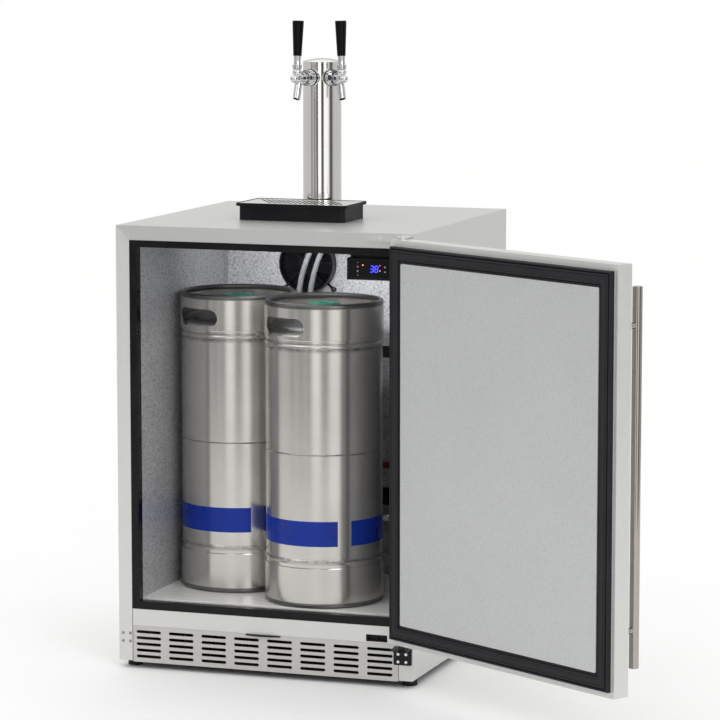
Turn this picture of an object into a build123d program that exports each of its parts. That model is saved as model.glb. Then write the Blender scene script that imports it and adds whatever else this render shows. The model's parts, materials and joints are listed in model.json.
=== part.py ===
from build123d import *
from math import cos, pi, radians, sin, sqrt, tan
import os

# An undercounter kegerator with its door open, in millimetres. The origin is on the floor, midway
# between the four feet. +X is to the right seen from the front, -Y is the front and +Z is up.

# ---------------------------------------------------------------- driving dimensions
CABINET_WIDTH = 606.0
CABINET_DEPTH = 601.0
CABINET_BOTTOM = 15.0
CABINET_TOP = 870.5
SHEET = 1.0
FRAME_WIDTH = 28.0
GRILLE_TOP = 85.5
RAIL_TOP = 118.7

OPENING_HALF_WIDTH = 260.0
OPENING_BOTTOM = 134.0
OPENING_TOP = 829.0
STRIP_DEPTH = 19.0
LINER_HALF_WIDTH = 263.0
LINER_BACK = 190.0
LINER_SHEET = 1.0
TRAY_TOP = 136.7
HUMP_FRONT = 105.0
HUMP_TOP = 230.0

FOOT_X = 285.0
FOOT_Y = 262.0
FOOT_RADIUS = 14.5

PIVOT_X = 292.0
PIVOT_Y = -332.0
DOOR_OPEN_DEG = 149.0
DOOR_HINGE_EDGE = -12.0
DOOR_LATCH_EDGE = 597.0
DOOR_BOTTOM = 95.0
DOOR_TOP = 864.0
DOOR_OUTER = 16.1
DOOR_INNER = 18.8
GASKET_PROUD = 11.7
GASKET_WIDTH = 30.0
GASKET_SIDE_INSET = 7.7
GASKET_END_INSET = 11.4

TOWER_X = -5.0
TOWER_Y = 50.0
COLUMN_RADIUS = 38.1
COLUMN_TOP = 1174.0
SHANK_Z = 1145.5
TAP_REACH = 92.0
TOWER_TURN_DEG = 16.0
TAP_HALF_ANGLE_DEG = 28.5
LEVER_PIVOT_Z = 1158.0

KEG_RADIUS = 116.0
KEG_HEIGHT = 590.0
KEG_BOTTOM = 137.0
KEGS = {"left": (-140.0, -68.0), "right": (74.0, -160.0)}
HAND_HOLE_DEG = -116.5

HOSE_RADIUS = 5.5
RUNNING_GAP = 0.05

half_width = CABINET_WIDTH / 2
half_depth = CABINET_DEPTH / 2
stile_inner = half_width - FRAME_WIDTH
top_rail_bottom = CABINET_TOP - FRAME_WIDTH

os.makedirs("parts", exist_ok=True)


# ---------------------------------------------------------------- helpers
def finish(builder, name):
    """Label a finished piece and write its STEP file."""
    builder.part.label = name
    export_step(builder.part, f"parts/{name}.step")


def slab(x_span, y_span, z_span, mode=Mode.ADD):
    """A box between two limits along each axis, in the part being built."""
    middle = tuple((low + high) / 2 for low, high in (x_span, y_span, z_span))
    size = [high - low for low, high in (x_span, y_span, z_span)]
    with Locations(middle):
        Box(*size, mode=mode)


def rod(start, end, radius, mode=Mode.ADD):
    """A straight cylinder between two points, in the part being built."""
    line = Vector(*end) - Vector(*start)
    with Locations(Plane(origin=start, z_dir=line)):
        Cylinder(radius, line.length, align=(Align.CENTER, Align.CENTER, Align.MIN), mode=mode)


def front_plane(y):
    """A plane facing the front, with X to the right and Z up."""
    return Plane(origin=(0, y, 0), x_dir=(1, 0, 0), z_dir=(0, -1, 0))


# ---------------------------------------------------------------- outer cabinet
with BuildPart() as side_panels:
    # two side walls of sheet steel, each with its front edge turned in to make a stile
    for side in (-1, 1):
        with BuildSketch(Plane.XY.offset(CABINET_BOTTOM)):
            with BuildLine():
                Polyline(
                    (side * half_width, half_depth),
                    (side * half_width, -half_depth),
                    (side * stile_inner, -half_depth),
                    (side * stile_inner, -half_depth + SHEET),
                    (side * (half_width - SHEET), -half_depth + SHEET),
                    (side * (half_width - SHEET), half_depth),
                    close=True,
                )
            make_face()
        extrude(amount=CABINET_TOP - SHEET - CABINET_BOTTOM)
        with BuildSketch(front_plane(-half_depth)):
            with BuildLine():
                Polyline(
                    (side * stile_inner, top_rail_bottom),
                    (side * half_width, CABINET_TOP),
                    (side * stile_inner, CABINET_TOP),
                    close=True,
                )
            make_face()
        extrude(amount=-SHEET, mode=Mode.SUBTRACT)
finish(side_panels, "side_panels")

LINE_HOLE_RADIUS = 24.0
with BuildPart() as top_panel:
    slab((-half_width, half_width), (-half_depth, half_depth), (CABINET_TOP - SHEET, CABINET_TOP))
    with BuildSketch(front_plane(-half_depth)):
        with BuildLine():
            Polyline(
                (-stile_inner, top_rail_bottom),
                (stile_inner, top_rail_bottom),
                (half_width, CABINET_TOP),
                (-half_width, CABINET_TOP),
                close=True,
            )
        make_face()
    extrude(amount=-SHEET)
    with Locations((TOWER_X, TOWER_Y, CABINET_TOP)):
        Hole(LINE_HOLE_RADIUS)
finish(top_panel, "top_panel")

GAS_PORT = (170.0, 600.0)
GAS_HOLE_RADIUS = 11.0
POWER_PORT = (-200.0, 90.0)
with BuildPart() as back_panel:
    slab(
        (-half_width + SHEET, half_width - SHEET),
        (half_depth - SHEET, half_depth),
        (CABINET_BOTTOM + 1.5, CABINET_TOP - SHEET),
    )
    with BuildSketch(front_plane(half_depth)):
        with Locations(GAS_PORT):
            Circle(GAS_HOLE_RADIUS)
        with Locations(POWER_PORT):
            Rectangle(28, 24)
        with Locations((40, 110)):
            with GridLocations(70, 11, 5, 9):
                SlotOverall(54, 5)
    extrude(amount=SHEET, mode=Mode.SUBTRACT)
finish(back_panel, "back_panel")

BOSS_TOP = 42.0
STUD_RADIUS = 5.0
with BuildPart() as base_pan:
    slab(
        (-half_width + SHEET, half_width - SHEET),
        (-half_depth + 3, half_depth),
        (CABINET_BOTTOM, CABINET_BOTTOM + 1.5),
    )
    with Locations((0, 0, CABINET_BOTTOM)):
        with GridLocations(2 * FOOT_X, 2 * FOOT_Y, 2, 2):
            Cylinder(10, BOSS_TOP - CABINET_BOTTOM, align=(Align.CENTER, Align.CENTER, Align.MIN))
            Cylinder(STUD_RADIUS + RUNNING_GAP, 200, mode=Mode.SUBTRACT)
finish(base_pan, "base_pan")

SWITCH_X = (209.0, 252.0)
SWITCH_Z = (87.5, 101.0)
STILE_GAP = 1.2
rail_half = stile_inner - STILE_GAP
with BuildPart() as front_rail:
    slab((-rail_half, rail_half), (-half_depth, -half_depth + SHEET), (GRILLE_TOP, RAIL_TOP))
    slab((-LINER_HALF_WIDTH, LINER_HALF_WIDTH), (-half_depth, -half_depth + 16),
         (RAIL_TOP - SHEET, RAIL_TOP))
    slab(SWITCH_X, (-half_depth - 1, -half_depth + 2), SWITCH_Z, mode=Mode.SUBTRACT)
finish(front_rail, "front_rail")

with BuildPart() as vent_grille:
    slab((-rail_half, rail_half), (-half_depth + 0.4, -half_depth + 1.6),
         (CABINET_BOTTOM - 2, GRILLE_TOP - 0.4))
    with BuildSketch(front_plane(-half_depth)):
        with Locations((-2, 49)):
            with GridLocations(68.2, 12.2, 8, 5):
                SlotOverall(51.4, 5.8)
    extrude(amount=-3, mode=Mode.SUBTRACT)
finish(vent_grille, "vent_grille")

with BuildPart() as grille_latch:
    with BuildSketch(Plane.XY.offset(GRILLE_TOP - 3.4)):
        with BuildLine():
            Line((-37, -half_depth), (-37, -half_depth - 2))
            ThreePointArc((-37, -half_depth - 2), (-2, -half_depth - 7), (34, -half_depth - 2))
            Polyline((34, -half_depth - 2), (34, -half_depth), (-37, -half_depth))
        make_face()
    extrude(amount=2.4)
finish(grille_latch, "grille_latch")

with BuildPart() as door_switch:
    slab(SWITCH_X, (-half_depth, -half_depth + 14), SWITCH_Z)
    slab(
        (SWITCH_X[0] + 3, SWITCH_X[1] - 3),
        (-half_depth - 1, -half_depth + 6),
        (SWITCH_Z[0] + 2.5, SWITCH_Z[1] - 2.5),
        mode=Mode.SUBTRACT,
    )
    rod((231, -half_depth + 7, 94.2), (231, -half_depth + 1.5, 94.2), 2.6)
finish(door_switch, "door_switch")


# ---------------------------------------------------------------- breaker strip and liner
STRIP_PROUD = 0.6
STRIP_SLEEVE = 2.5
with BuildPart() as breaker_strip:
    with BuildSketch(front_plane(-half_depth - STRIP_PROUD)):
        with Locations((0, (RAIL_TOP + top_rail_bottom) / 2)):
            Rectangle(2 * stile_inner, top_rail_bottom - RAIL_TOP)
        with Locations((0, (OPENING_BOTTOM + OPENING_TOP) / 2)):
            Rectangle(2 * OPENING_HALF_WIDTH, OPENING_TOP - OPENING_BOTTOM, mode=Mode.SUBTRACT)
    extrude(amount=-2.0)
    with BuildSketch(front_plane(-half_depth - STRIP_PROUD)):
        with Locations((0, (OPENING_BOTTOM + OPENING_TOP) / 2)):
            Rectangle(
                2 * (OPENING_HALF_WIDTH + STRIP_SLEEVE),
                OPENING_TOP - OPENING_BOTTOM + 2 * STRIP_SLEEVE,
            )
            Rectangle(2 * OPENING_HALF_WIDTH, OPENING_TOP - OPENING_BOTTOM, mode=Mode.SUBTRACT)
    extrude(amount=-(STRIP_DEPTH + STRIP_PROUD))
    bevelled = breaker_strip.edges().filter_by(
        lambda edge: edge.center().Y < -half_depth and abs(edge.center().X) < stile_inner - 1
        and OPENING_BOTTOM - 1 < edge.center().Z < OPENING_TOP + 1
    )
    fillet(bevelled, 1.2)
finish(breaker_strip, "breaker_strip")

SEAM = 0.2
CORNER_TRIM = 18.0
liner_front = -half_depth + STRIP_DEPTH
ceiling = OPENING_TOP + STRIP_SLEEVE
liner_floor = TRAY_TOP - 2.0
trim_inner = LINER_HALF_WIDTH - 1.2
with BuildPart() as liner:
    # separate sheets with hairline seams: two walls, back, ceiling, the step over the machinery
    # and two folded trims that cover the back corners
    inner = (-LINER_HALF_WIDTH + SEAM, LINER_HALF_WIDTH - SEAM)
    for side in (-1, 1):
        wall = sorted((side * LINER_HALF_WIDTH, side * (LINER_HALF_WIDTH + LINER_SHEET)))
        slab(wall, (liner_front, LINER_BACK), (liner_floor, ceiling - SEAM))
        slab(sorted((side * (trim_inner + 0.2), side * trim_inner)),
             (LINER_BACK - CORNER_TRIM, LINER_BACK - SEAM), (HUMP_TOP, ceiling - SEAM))
        slab(sorted((side * trim_inner, side * (trim_inner - CORNER_TRIM))),
             (LINER_BACK - 1.0, LINER_BACK - SEAM), (HUMP_TOP, ceiling - SEAM))
    slab(inner, (LINER_BACK, LINER_BACK + LINER_SHEET), (HUMP_TOP + SEAM, ceiling - SEAM))
    slab(inner, (liner_front, LINER_BACK + LINER_SHEET), (ceiling, ceiling + LINER_SHEET))
    slab(inner, (HUMP_FRONT, LINER_BACK + LINER_SHEET), (HUMP_TOP - LINER_SHEET, HUMP_TOP - SEAM))
    slab(inner, (HUMP_FRONT, HUMP_FRONT + LINER_SHEET), (liner_floor, HUMP_TOP - LINER_SHEET - SEAM))
    with Locations((TOWER_X, TOWER_Y, ceiling)):
        Cylinder(LINE_HOLE_RADIUS, 20, mode=Mode.SUBTRACT)
    rod((GAS_PORT[0], LINER_BACK - 5, GAS_PORT[1]), (GAS_PORT[0], LINER_BACK + 5, GAS_PORT[1]),
        GAS_HOLE_RADIUS, mode=Mode.SUBTRACT)
finish(liner, "liner")

with BuildPart() as floor_tray:
    slab((-LINER_HALF_WIDTH, LINER_HALF_WIDTH), (-276, HUMP_FRONT), (TRAY_TOP - 1.2, TRAY_TOP))
    slab((-LINER_HALF_WIDTH, LINER_HALF_WIDTH), (-276, -274.8), (TRAY_TOP - 6, TRAY_TOP))
    lip = floor_tray.edges().filter_by(Axis.X).group_by(Axis.Y)[0].sort_by(Axis.Z)[-1:]
    fillet(lip, 0.9)
finish(floor_tray, "floor_tray")

FOAM_FRONT = -half_depth + 3.0
MACHINE_ROOF = 105.0
COMPRESSOR_ROOF = 202.0
with BuildPart() as foam_insulation:
    # slabs with hairline joints: two sides, top, back, and three pieces that follow the step
    foam_outer = half_width - SHEET
    foam_inner = LINER_HALF_WIDTH + LINER_SHEET
    roof = CABINET_TOP - SHEET
    ceiling_top = ceiling + LINER_SHEET
    inner = (-foam_inner + SEAM, foam_inner - SEAM)
    step_span = (-LINER_HALF_WIDTH + SEAM, LINER_HALF_WIDTH - SEAM)
    step_top = HUMP_TOP - LINER_SHEET - SEAM
    back_face = LINER_BACK + LINER_SHEET + 9
    for side in (-1, 1):
        slab(sorted((side * foam_inner, side * foam_outer)), (FOAM_FRONT, half_depth - SHEET),
             (MACHINE_ROOF, roof))
    slab(inner, (FOAM_FRONT, half_depth - SHEET), (ceiling_top, roof))
    slab(inner, (back_face, half_depth - SHEET), (COMPRESSOR_ROOF, ceiling_top - SEAM))
    slab(step_span, (HUMP_FRONT + 30, back_face - SEAM), (COMPRESSOR_ROOF, step_top))
    slab(step_span, (HUMP_FRONT + LINER_SHEET, HUMP_FRONT + 30 - SEAM), (MACHINE_ROOF, step_top))
    slab(step_span, (-270, HUMP_FRONT + LINER_SHEET - SEAM), (MACHINE_ROOF, liner_floor - 5))
    with Locations((TOWER_X, TOWER_Y, roof)):
        Cylinder(LINE_HOLE_RADIUS, 100, mode=Mode.SUBTRACT)
    rod((GAS_PORT[0], LINER_BACK, GAS_PORT[1]), (GAS_PORT[0], half_depth, GAS_PORT[1]),
        GAS_HOLE_RADIUS, mode=Mode.SUBTRACT)
finish(foam_insulation, "foam_insulation")

GAS_BORE_RADIUS = 8.0
with BuildPart() as gas_line_bushing:
    rod((GAS_PORT[0], LINER_BACK - 1.5, GAS_PORT[1]), (GAS_PORT[0], half_depth + 2, GAS_PORT[1]),
        GAS_HOLE_RADIUS)
    rod((GAS_PORT[0], LINER_BACK - 1.5, GAS_PORT[1]), (GAS_PORT[0], LINER_BACK, GAS_PORT[1]), 15)
    rod((GAS_PORT[0], half_depth, GAS_PORT[1]), (GAS_PORT[0], half_depth + 2, GAS_PORT[1]), 15)
    rod((GAS_PORT[0], LINER_BACK - 5, GAS_PORT[1]), (GAS_PORT[0], half_depth + 5, GAS_PORT[1]),
        GAS_BORE_RADIUS, mode=Mode.SUBTRACT)
finish(gas_line_bushing, "gas_line_bushing")

with BuildPart() as power_inlet:
    slab((POWER_PORT[0] - 14, POWER_PORT[0] + 14), (half_depth - 26, half_depth + 2),
         (POWER_PORT[1] - 12, POWER_PORT[1] + 12))
    slab((POWER_PORT[0] - 11, POWER_PORT[0] + 11), (half_depth - 18, half_depth + 3),
         (POWER_PORT[1] - 8, POWER_PORT[1] + 8), mode=Mode.SUBTRACT)
    for dx in (-6, 0, 6):
        rod((POWER_PORT[0] + dx, half_depth - 20, POWER_PORT[1]),
            (POWER_PORT[0] + dx, half_depth - 4, POWER_PORT[1]), 1.2)
finish(power_inlet, "power_inlet")


# ---------------------------------------------------------------- fans
BLADE_PITCH = radians(30)


def fan_blades(name, centre, radius, hub_radius, length, count, shaft_end):
    """A fan on an axis along Y: a hub with twisted blades and a shaft towards the back."""
    x, y, z = centre
    with BuildPart() as blades:
        rod((x, y, z), (x, y + length, z), hub_radius)
        rod((x, y + length, z), (x, shaft_end, z), 2.0)
        for index in range(count):
            turn = radians(360 / count * index)
            blade_plane = Plane(
                origin=(x, y + length / 2, z),
                x_dir=(sin(turn), 0, cos(turn)),
                z_dir=(sin(BLADE_PITCH) * cos(turn), cos(BLADE_PITCH), -sin(BLADE_PITCH) * sin(turn)),
            )
            with Locations(blade_plane):
                Box(radius + 2, length * 1.8, 1.4, align=(Align.MIN, Align.CENTER, Align.CENTER))
        rim = Plane(origin=(x, y - 20, z), z_dir=(0, 1, 0))
        with BuildSketch(rim):
            Circle(radius)
        extrude(amount=60, mode=Mode.INTERSECT)
    finish(blades, name)


FAN = (-83.0, 757.0)
FAN_GUARD_RADIUS = 58.0
FAN_SCREW = 52.5
with BuildPart() as fan_guard:
    with BuildSketch(front_plane(LINER_BACK)):
        with Locations(FAN):
            Circle(FAN_GUARD_RADIUS)
            Circle(FAN_GUARD_RADIUS - 2.5, mode=Mode.SUBTRACT)
    extrude(amount=24)
    with BuildSketch(front_plane(LINER_BACK - 22)):
        with Locations(FAN):
            for ring in (14, 21, 28, 35, 42, 49, 55.5):
                Circle(ring + 1.1)
                Circle(ring - 1.1, mode=Mode.SUBTRACT)
            for turn in (45, 135, 225, 315):
                with Locations(Location((0, 0), turn)):
                    with Locations((32, 0)):
                        Rectangle(56, 2.4)
            Circle(9)
    extrude(amount=2)
    with BuildSketch(front_plane(LINER_BACK)):
        with Locations(FAN):
            for turn in (45, 135, 225, 315):
                with Locations(Location((0, 0), turn)):
                    with Locations((66, 0)):
                        Rectangle(20, 4)
                    with Locations((FAN_SCREW * sqrt(2), 0)):
                        Circle(5.5)
    extrude(amount=4)
    with BuildSketch(front_plane(LINER_BACK)):
        with Locations(FAN):
            for turn in (0, 90):
                with Locations(Location((0, 0), turn)):
                    Rectangle(2 * FAN_GUARD_RADIUS - 3, 5)
            Circle(20)
            Circle(2.0 + RUNNING_GAP, mode=Mode.SUBTRACT)
    extrude(amount=7)
    with BuildSketch(front_plane(LINER_BACK)):
        with Locations(FAN):
            Circle(FAN_GUARD_RADIUS - 1)
    extrude(amount=1)
finish(fan_guard, "fan_guard")
fan_blades("fan_blades", (FAN[0], LINER_BACK - 18.5, FAN[1]), 52.0, 17.0, 10.5, 7, LINER_BACK - 2)

CONDENSER_FAN = (-60.0, 61.0)
CONDENSER_FAN_Y = -95.0
with BuildPart() as condenser_fan_frame:
    with BuildSketch(front_plane(CONDENSER_FAN_Y)):
        with Locations(CONDENSER_FAN):
            RectangleRounded(84, 84, 5)
            Circle(38.5, mode=Mode.SUBTRACT)
    extrude(amount=-25)
    with BuildSketch(front_plane(CONDENSER_FAN_Y + 25)):
        with Locations(CONDENSER_FAN):
            for turn in (45, 135):
                with Locations(Location((0, 0), turn)):
                    Rectangle(84, 4)
            Circle(17)
            Circle(2.0 + RUNNING_GAP, mode=Mode.SUBTRACT)
    extrude(amount=6)
    slab((CONDENSER_FAN[0] - 42, CONDENSER_FAN[0] + 42), (CONDENSER_FAN_Y, CONDENSER_FAN_Y + 25),
         (CABINET_BOTTOM + 1.5, CONDENSER_FAN[1] - 40))
finish(condenser_fan_frame, "condenser_fan_frame")
fan_blades("condenser_fan_blades", (CONDENSER_FAN[0], CONDENSER_FAN_Y + 3, CONDENSER_FAN[1]),
           36.0, 13.0, 12.0, 5, CONDENSER_FAN_Y + 24)

# ---------------------------------------------------------------- refrigeration
CONDENSER_X = (-190.0, 70.0)
CONDENSER_Y = (-200.0, -110.0)
CONDENSER_ROWS = 4
with BuildPart() as condenser_coil:
    fin_pitch = 8.0
    fin_count = int((CONDENSER_X[1] - CONDENSER_X[0]) / fin_pitch) + 1
    for column in (-185.0, -155.0, -125.0):
        for row in range(CONDENSER_ROWS):
            z = 32 + 20 * row
            rod((CONDENSER_X[0] - 12, column, z), (CONDENSER_X[1] + 12, column, z), 4)
    with Locations(((CONDENSER_X[0] + CONDENSER_X[1]) / 2, -155, 62)):
        with GridLocations(fin_pitch, 1, fin_count, 1):
            Box(0.8, CONDENSER_Y[1] - CONDENSER_Y[0], 86)
    for end in (CONDENSER_X[0] - 16, CONDENSER_X[1] + 12):
        slab((end, end + 4), CONDENSER_Y, (CABINET_BOTTOM + 1.5, 104))
finish(condenser_coil, "condenser_coil")

COMPRESSOR = (0.0, 215.0)
with BuildPart() as compressor:
    with BuildSketch(Plane.XY.offset(36)):
        with Locations(COMPRESSOR):
            Ellipse(88, 66)
    extrude(amount=150)
    rims = compressor.edges().filter_by(GeomType.ELLIPSE)
    fillet(rims, 24)
    with BuildSketch(Plane.XY.offset(52)):
        with Locations(COMPRESSOR):
            Ellipse(78, 56)
    extrude(amount=118, mode=Mode.SUBTRACT)
    slab((COMPRESSOR[0] - 100, COMPRESSOR[0] + 100), (COMPRESSOR[1] - 22, COMPRESSOR[1] + 22), (33, 36.5))
    with Locations((COMPRESSOR[0], COMPRESSOR[1], CABINET_BOTTOM + 1.5)):
        with GridLocations(180, 0.001, 2, 1):
            Cylinder(9, 33 - CABINET_BOTTOM - 1.5, align=(Align.CENTER, Align.CENTER, Align.MIN))
finish(compressor, "compressor")


def tube_through(points, radius, bend):
    """A tube of one radius along straight runs with one bend radius, in the part being built."""
    with BuildLine() as path:
        FilletPolyline(*points, radius=bend)
    with BuildSketch(Plane(origin=path.line @ 0, z_dir=path.line % 0)) as section:
        Circle(radius)
    sweep(section.sketch, path=path.line)


EVAPORATOR_RADIUS = 4.0
LINE_RADIUS = 3.0
evaporator_y = LINER_BACK + LINER_SHEET + EVAPORATOR_RADIUS + 0.4
with BuildPart() as refrigerant_tubing:
    serpentine = []
    for row in range(8):
        z = 680 - 56 * row
        ends = (-235, 150) if row % 2 == 0 else (150, -235)
        serpentine += [(ends[0], evaporator_y, z), (ends[1], evaporator_y, z)]
    tube_through(serpentine, EVAPORATOR_RADIUS, 20)
    tube_through([(CONDENSER_X[1] + 20, -155, 92), (140, -155, 92), (140, 215, 92), (92, 215, 92)],
                 LINE_RADIUS, 20)
    tube_through([(CONDENSER_X[0] - 20, -155, 92), (-235, -155, 92), (-235, 130, 92), (-235, 130, 60)],
                 LINE_RADIUS, 12)
    rod((-235, 130, 60), (-235, 130, 24), 9)
finish(refrigerant_tubing, "refrigerant_tubing")

# ---------------------------------------------------------------- controller
CONTROLLER_X = (157.0, 261.0)
CONTROLLER_Y = (-262.0, -236.0)
CONTROLLER_Z = (777.0, 819.0)
BUTTONS = {
    "controller_button_up": (179.0, 802.5),
    "controller_button_down": (179.0, 793.5),
    "controller_button_light": (235.0, 802.5),
    "controller_button_set": (235.0, 793.5),
}
BUTTON_RADIUS = 3.6
BUTTON_GAP = 0.3
with BuildPart() as controller_housing:
    slab(CONTROLLER_X, CONTROLLER_Y, CONTROLLER_Z)
    fillet(controller_housing.edges().filter_by(Axis.Y), 2.0)
    fillet(controller_housing.faces().sort_by(Axis.Y)[0].edges(), 1.2)
    slab((CONTROLLER_X[0] + 6, CONTROLLER_X[1]), (CONTROLLER_Y[0] + 6, CONTROLLER_Y[1]),
         (CONTROLLER_Z[1] - 3, ceiling))
    slab((CONTROLLER_X[0] + 5, CONTROLLER_X[1] - 5), (CONTROLLER_Y[0] - 1, CONTROLLER_Y[0] + 3),
         (CONTROLLER_Z[0] + 5, CONTROLLER_Z[1] - 5), mode=Mode.SUBTRACT)
    for x, z in BUTTONS.values():
        rod((x, CONTROLLER_Y[0] + 2, z), (x, CONTROLLER_Y[0] + 8, z), BUTTON_RADIUS + BUTTON_GAP,
            mode=Mode.SUBTRACT)
finish(controller_housing, "controller_housing")

with BuildPart() as controller_display:
    slab((CONTROLLER_X[0] + 5.1, CONTROLLER_X[1] - 5.1), (CONTROLLER_Y[0] + 0.6, CONTROLLER_Y[0] + 3),
         (CONTROLLER_Z[0] + 5.1, CONTROLLER_Z[1] - 5.1))
    for x, z in BUTTONS.values():
        rod((x, CONTROLLER_Y[0] - 1, z), (x, CONTROLLER_Y[0] + 4, z), BUTTON_RADIUS + BUTTON_GAP,
            mode=Mode.SUBTRACT)
finish(controller_display, "controller_display")

for name, (x, z) in BUTTONS.items():
    with BuildPart() as button:
        rod((x, CONTROLLER_Y[0] - 0.4, z), (x, CONTROLLER_Y[0] + 6.5, z), BUTTON_RADIUS)
        fillet(button.edges().filter_by(GeomType.CIRCLE).sort_by(Axis.Y)[0], 0.8)
    finish(button, name)

# ---------------------------------------------------------------- levelling feet
FOOT_HEIGHT = 14.5
for y, end in ((-FOOT_Y, "front"), (FOOT_Y, "back")):
    for x, side in ((-FOOT_X, "left"), (FOOT_X, "right")):
        with BuildPart() as foot:
            with BuildSketch(front_plane(y)):
                with BuildLine():
                    rim = x + FOOT_RADIUS
                    Polyline((x, 0), (rim, 0), (rim, 9.5))
                    ThreePointArc((rim, 9.5), (rim - 1.2, 12.3), (rim - 4, 13.5))
                    Polyline((rim - 4, 13.5), (x + 8, FOOT_HEIGHT), (x + STUD_RADIUS, FOOT_HEIGHT),
                             (x + STUD_RADIUS, BOSS_TOP + 2), (x, BOSS_TOP + 2), (x, 0))
                make_face()
            revolve(axis=Axis((x, y, 0), (0, 0, 1)))
        finish(foot, f"foot_{end}_{side}")

# ---------------------------------------------------------------- hinges and cabinet screws
PIN_RADIUS = 4.0
BUSH_RADIUS = 6.5
PIN_DEPTH = 15.0
BRACKET = 3.0
SCREW_HEAD_RADIUS = 3.1
SCREW_HEAD = 1.6
SCREW_SOCKET = 1.7


def hinge_arm(z, thickness, x_span):
    """A flat arm from the cabinet's front face to a round end about the pivot, in the part being built."""
    with BuildSketch(Plane.XY.offset(z)) as outline:
        with Locations(((x_span[0] + x_span[1]) / 2, (PIVOT_Y - half_depth) / 2)):
            Rectangle(x_span[1] - x_span[0], -half_depth - PIVOT_Y)
        with Locations((PIVOT_X, PIVOT_Y)):
            Circle(ARM_END_RADIUS)
    extrude(outline.sketch, amount=thickness)


ARM_END_RADIUS = 11.5
UPPER_LEAF_TOP = 869.0
with BuildPart() as hinge_bracket_top:
    slab((213, 302), (-half_depth - BRACKET, -half_depth), (855, UPPER_LEAF_TOP))
    hinge_arm(UPPER_LEAF_TOP - BRACKET, BRACKET, (PIVOT_X - ARM_END_RADIUS, 302))
    rod((PIVOT_X, PIVOT_Y, DOOR_TOP - PIN_DEPTH + 1), (PIVOT_X, PIVOT_Y, CABINET_TOP), PIN_RADIUS)
finish(hinge_bracket_top, "hinge_bracket_top")

LEAF_TOP = 81.0
with BuildPart() as hinge_bracket_bottom:
    slab((265.5, 301.3), (-half_depth - BRACKET, -half_depth), (46, LEAF_TOP))
    fillet(hinge_bracket_bottom.edges().filter_by(Axis.Y), 2.5)
    hinge_arm(LEAF_TOP - BRACKET, BRACKET, (268, 301.3))
    rod((PIVOT_X, PIVOT_Y, LEAF_TOP - 6), (PIVOT_X, PIVOT_Y, DOOR_BOTTOM + PIN_DEPTH - 1), PIN_RADIUS)
    rod((PIVOT_X, PIVOT_Y, LEAF_TOP), (PIVOT_X, PIVOT_Y, DOOR_BOTTOM - 2.3), 7)
finish(hinge_bracket_bottom, "hinge_bracket_bottom")


def screw_head(x, y, z):
    """A pan head facing the front with a six-sided socket, in the part being built."""
    with BuildSketch(front_plane(y)) as head:
        with Locations((x, z)):
            Circle(SCREW_HEAD_RADIUS)
    extrude(head.sketch, amount=SCREW_HEAD, taper=18)
    with BuildSketch(front_plane(y - SCREW_HEAD)) as socket:
        with Locations((x, z)):
            RegularPolygon(SCREW_SOCKET, 6)
    extrude(socket.sketch, amount=-1.2, mode=Mode.SUBTRACT)


with BuildPart() as cabinet_screws:
    for x in (-294.5, -279.3):
        for z in (53.5, 69.0):
            screw_head(x, -half_depth, z)
    for x in (275.0, 290.9):
        for z in (52.4, 67.5):
            screw_head(x, -half_depth - BRACKET, z)
    screw_head(238.5, -half_depth - BRACKET, 860.5)
finish(cabinet_screws, "cabinet_screws")

# ---------------------------------------------------------------- door, built at its open rest pose
door_turn = radians(180 + DOOR_OPEN_DEG)
door_along = Vector(cos(door_turn), sin(door_turn), 0)
door_inward = Vector(sin(door_turn), -cos(door_turn), 0)
DOOR_MIDDLE = Plane(origin=(PIVOT_X, PIVOT_Y, 0), x_dir=door_along, z_dir=door_inward)
door_width = DOOR_LATCH_EDGE - DOOR_HINGE_EDGE
door_height = DOOR_TOP - DOOR_BOTTOM
door_centre = ((DOOR_LATCH_EDGE + DOOR_HINGE_EDGE) / 2, (DOOR_TOP + DOOR_BOTTOM) / 2)


def door_slab(inset, start, end, mode=Mode.ADD, corner=0.0, outline_size=(door_width, door_height)):
    """A door-shaped plate, inset from an outline, between two depths towards the inside."""
    width, height = (size - 2 * inset for size in outline_size)
    with BuildSketch(DOOR_MIDDLE.offset(start)) as outline:
        with Locations(door_centre):
            if corner:
                RectangleRounded(width, height, corner)
            else:
                Rectangle(width, height)
    extrude(outline.sketch, amount=end - start, mode=mode)


def pivot_holes(radius, depth):
    """Blind holes in the door's top and bottom on the hinge line, in the part being built."""
    for outside, inside in ((DOOR_BOTTOM - 5, DOOR_BOTTOM + depth), (DOOR_TOP + 5, DOOR_TOP - depth)):
        rod((PIVOT_X, PIVOT_Y, outside), (PIVOT_X, PIVOT_Y, inside), radius, mode=Mode.SUBTRACT)


HANDLE_X = DOOR_LATCH_EDGE - 32.0
HANDLE_OFF = DOOR_OUTER + 44.0
HANDLE_RADIUS = 9.0
HANDLE_BOTTOM = 135.0
HANDLE_TOP = 819.0
POST_RADIUS = 5.5
POST_FROM_END = 69.0
post_heights = (HANDLE_BOTTOM + POST_FROM_END, HANDLE_TOP - POST_FROM_END)

gasket_size = (door_width - 2 * GASKET_SIDE_INSET, door_height - 2 * GASKET_END_INSET)
with BuildPart() as door_shell:
    door_slab(0, -DOOR_OUTER, DOOR_INNER)
    outer_rim = door_shell.faces().sort_by(Axis(DOOR_MIDDLE.origin, door_inward))[0].edges()
    fillet(outer_rim, 1.5)
    door_slab(SHEET, -DOOR_OUTER + SHEET, DOOR_INNER - SHEET, mode=Mode.SUBTRACT)
    door_slab(0, DOOR_INNER - 2 * SHEET, DOOR_INNER + 1, Mode.SUBTRACT, outline_size=gasket_size)
    pivot_holes(BUSH_RADIUS, 3)
finish(door_shell, "door_shell")

with BuildPart() as door_foam:
    door_slab(SHEET, -DOOR_OUTER + SHEET, DOOR_INNER - SHEET)
    pivot_holes(BUSH_RADIUS, 18)
finish(door_foam, "door_foam")

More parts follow.
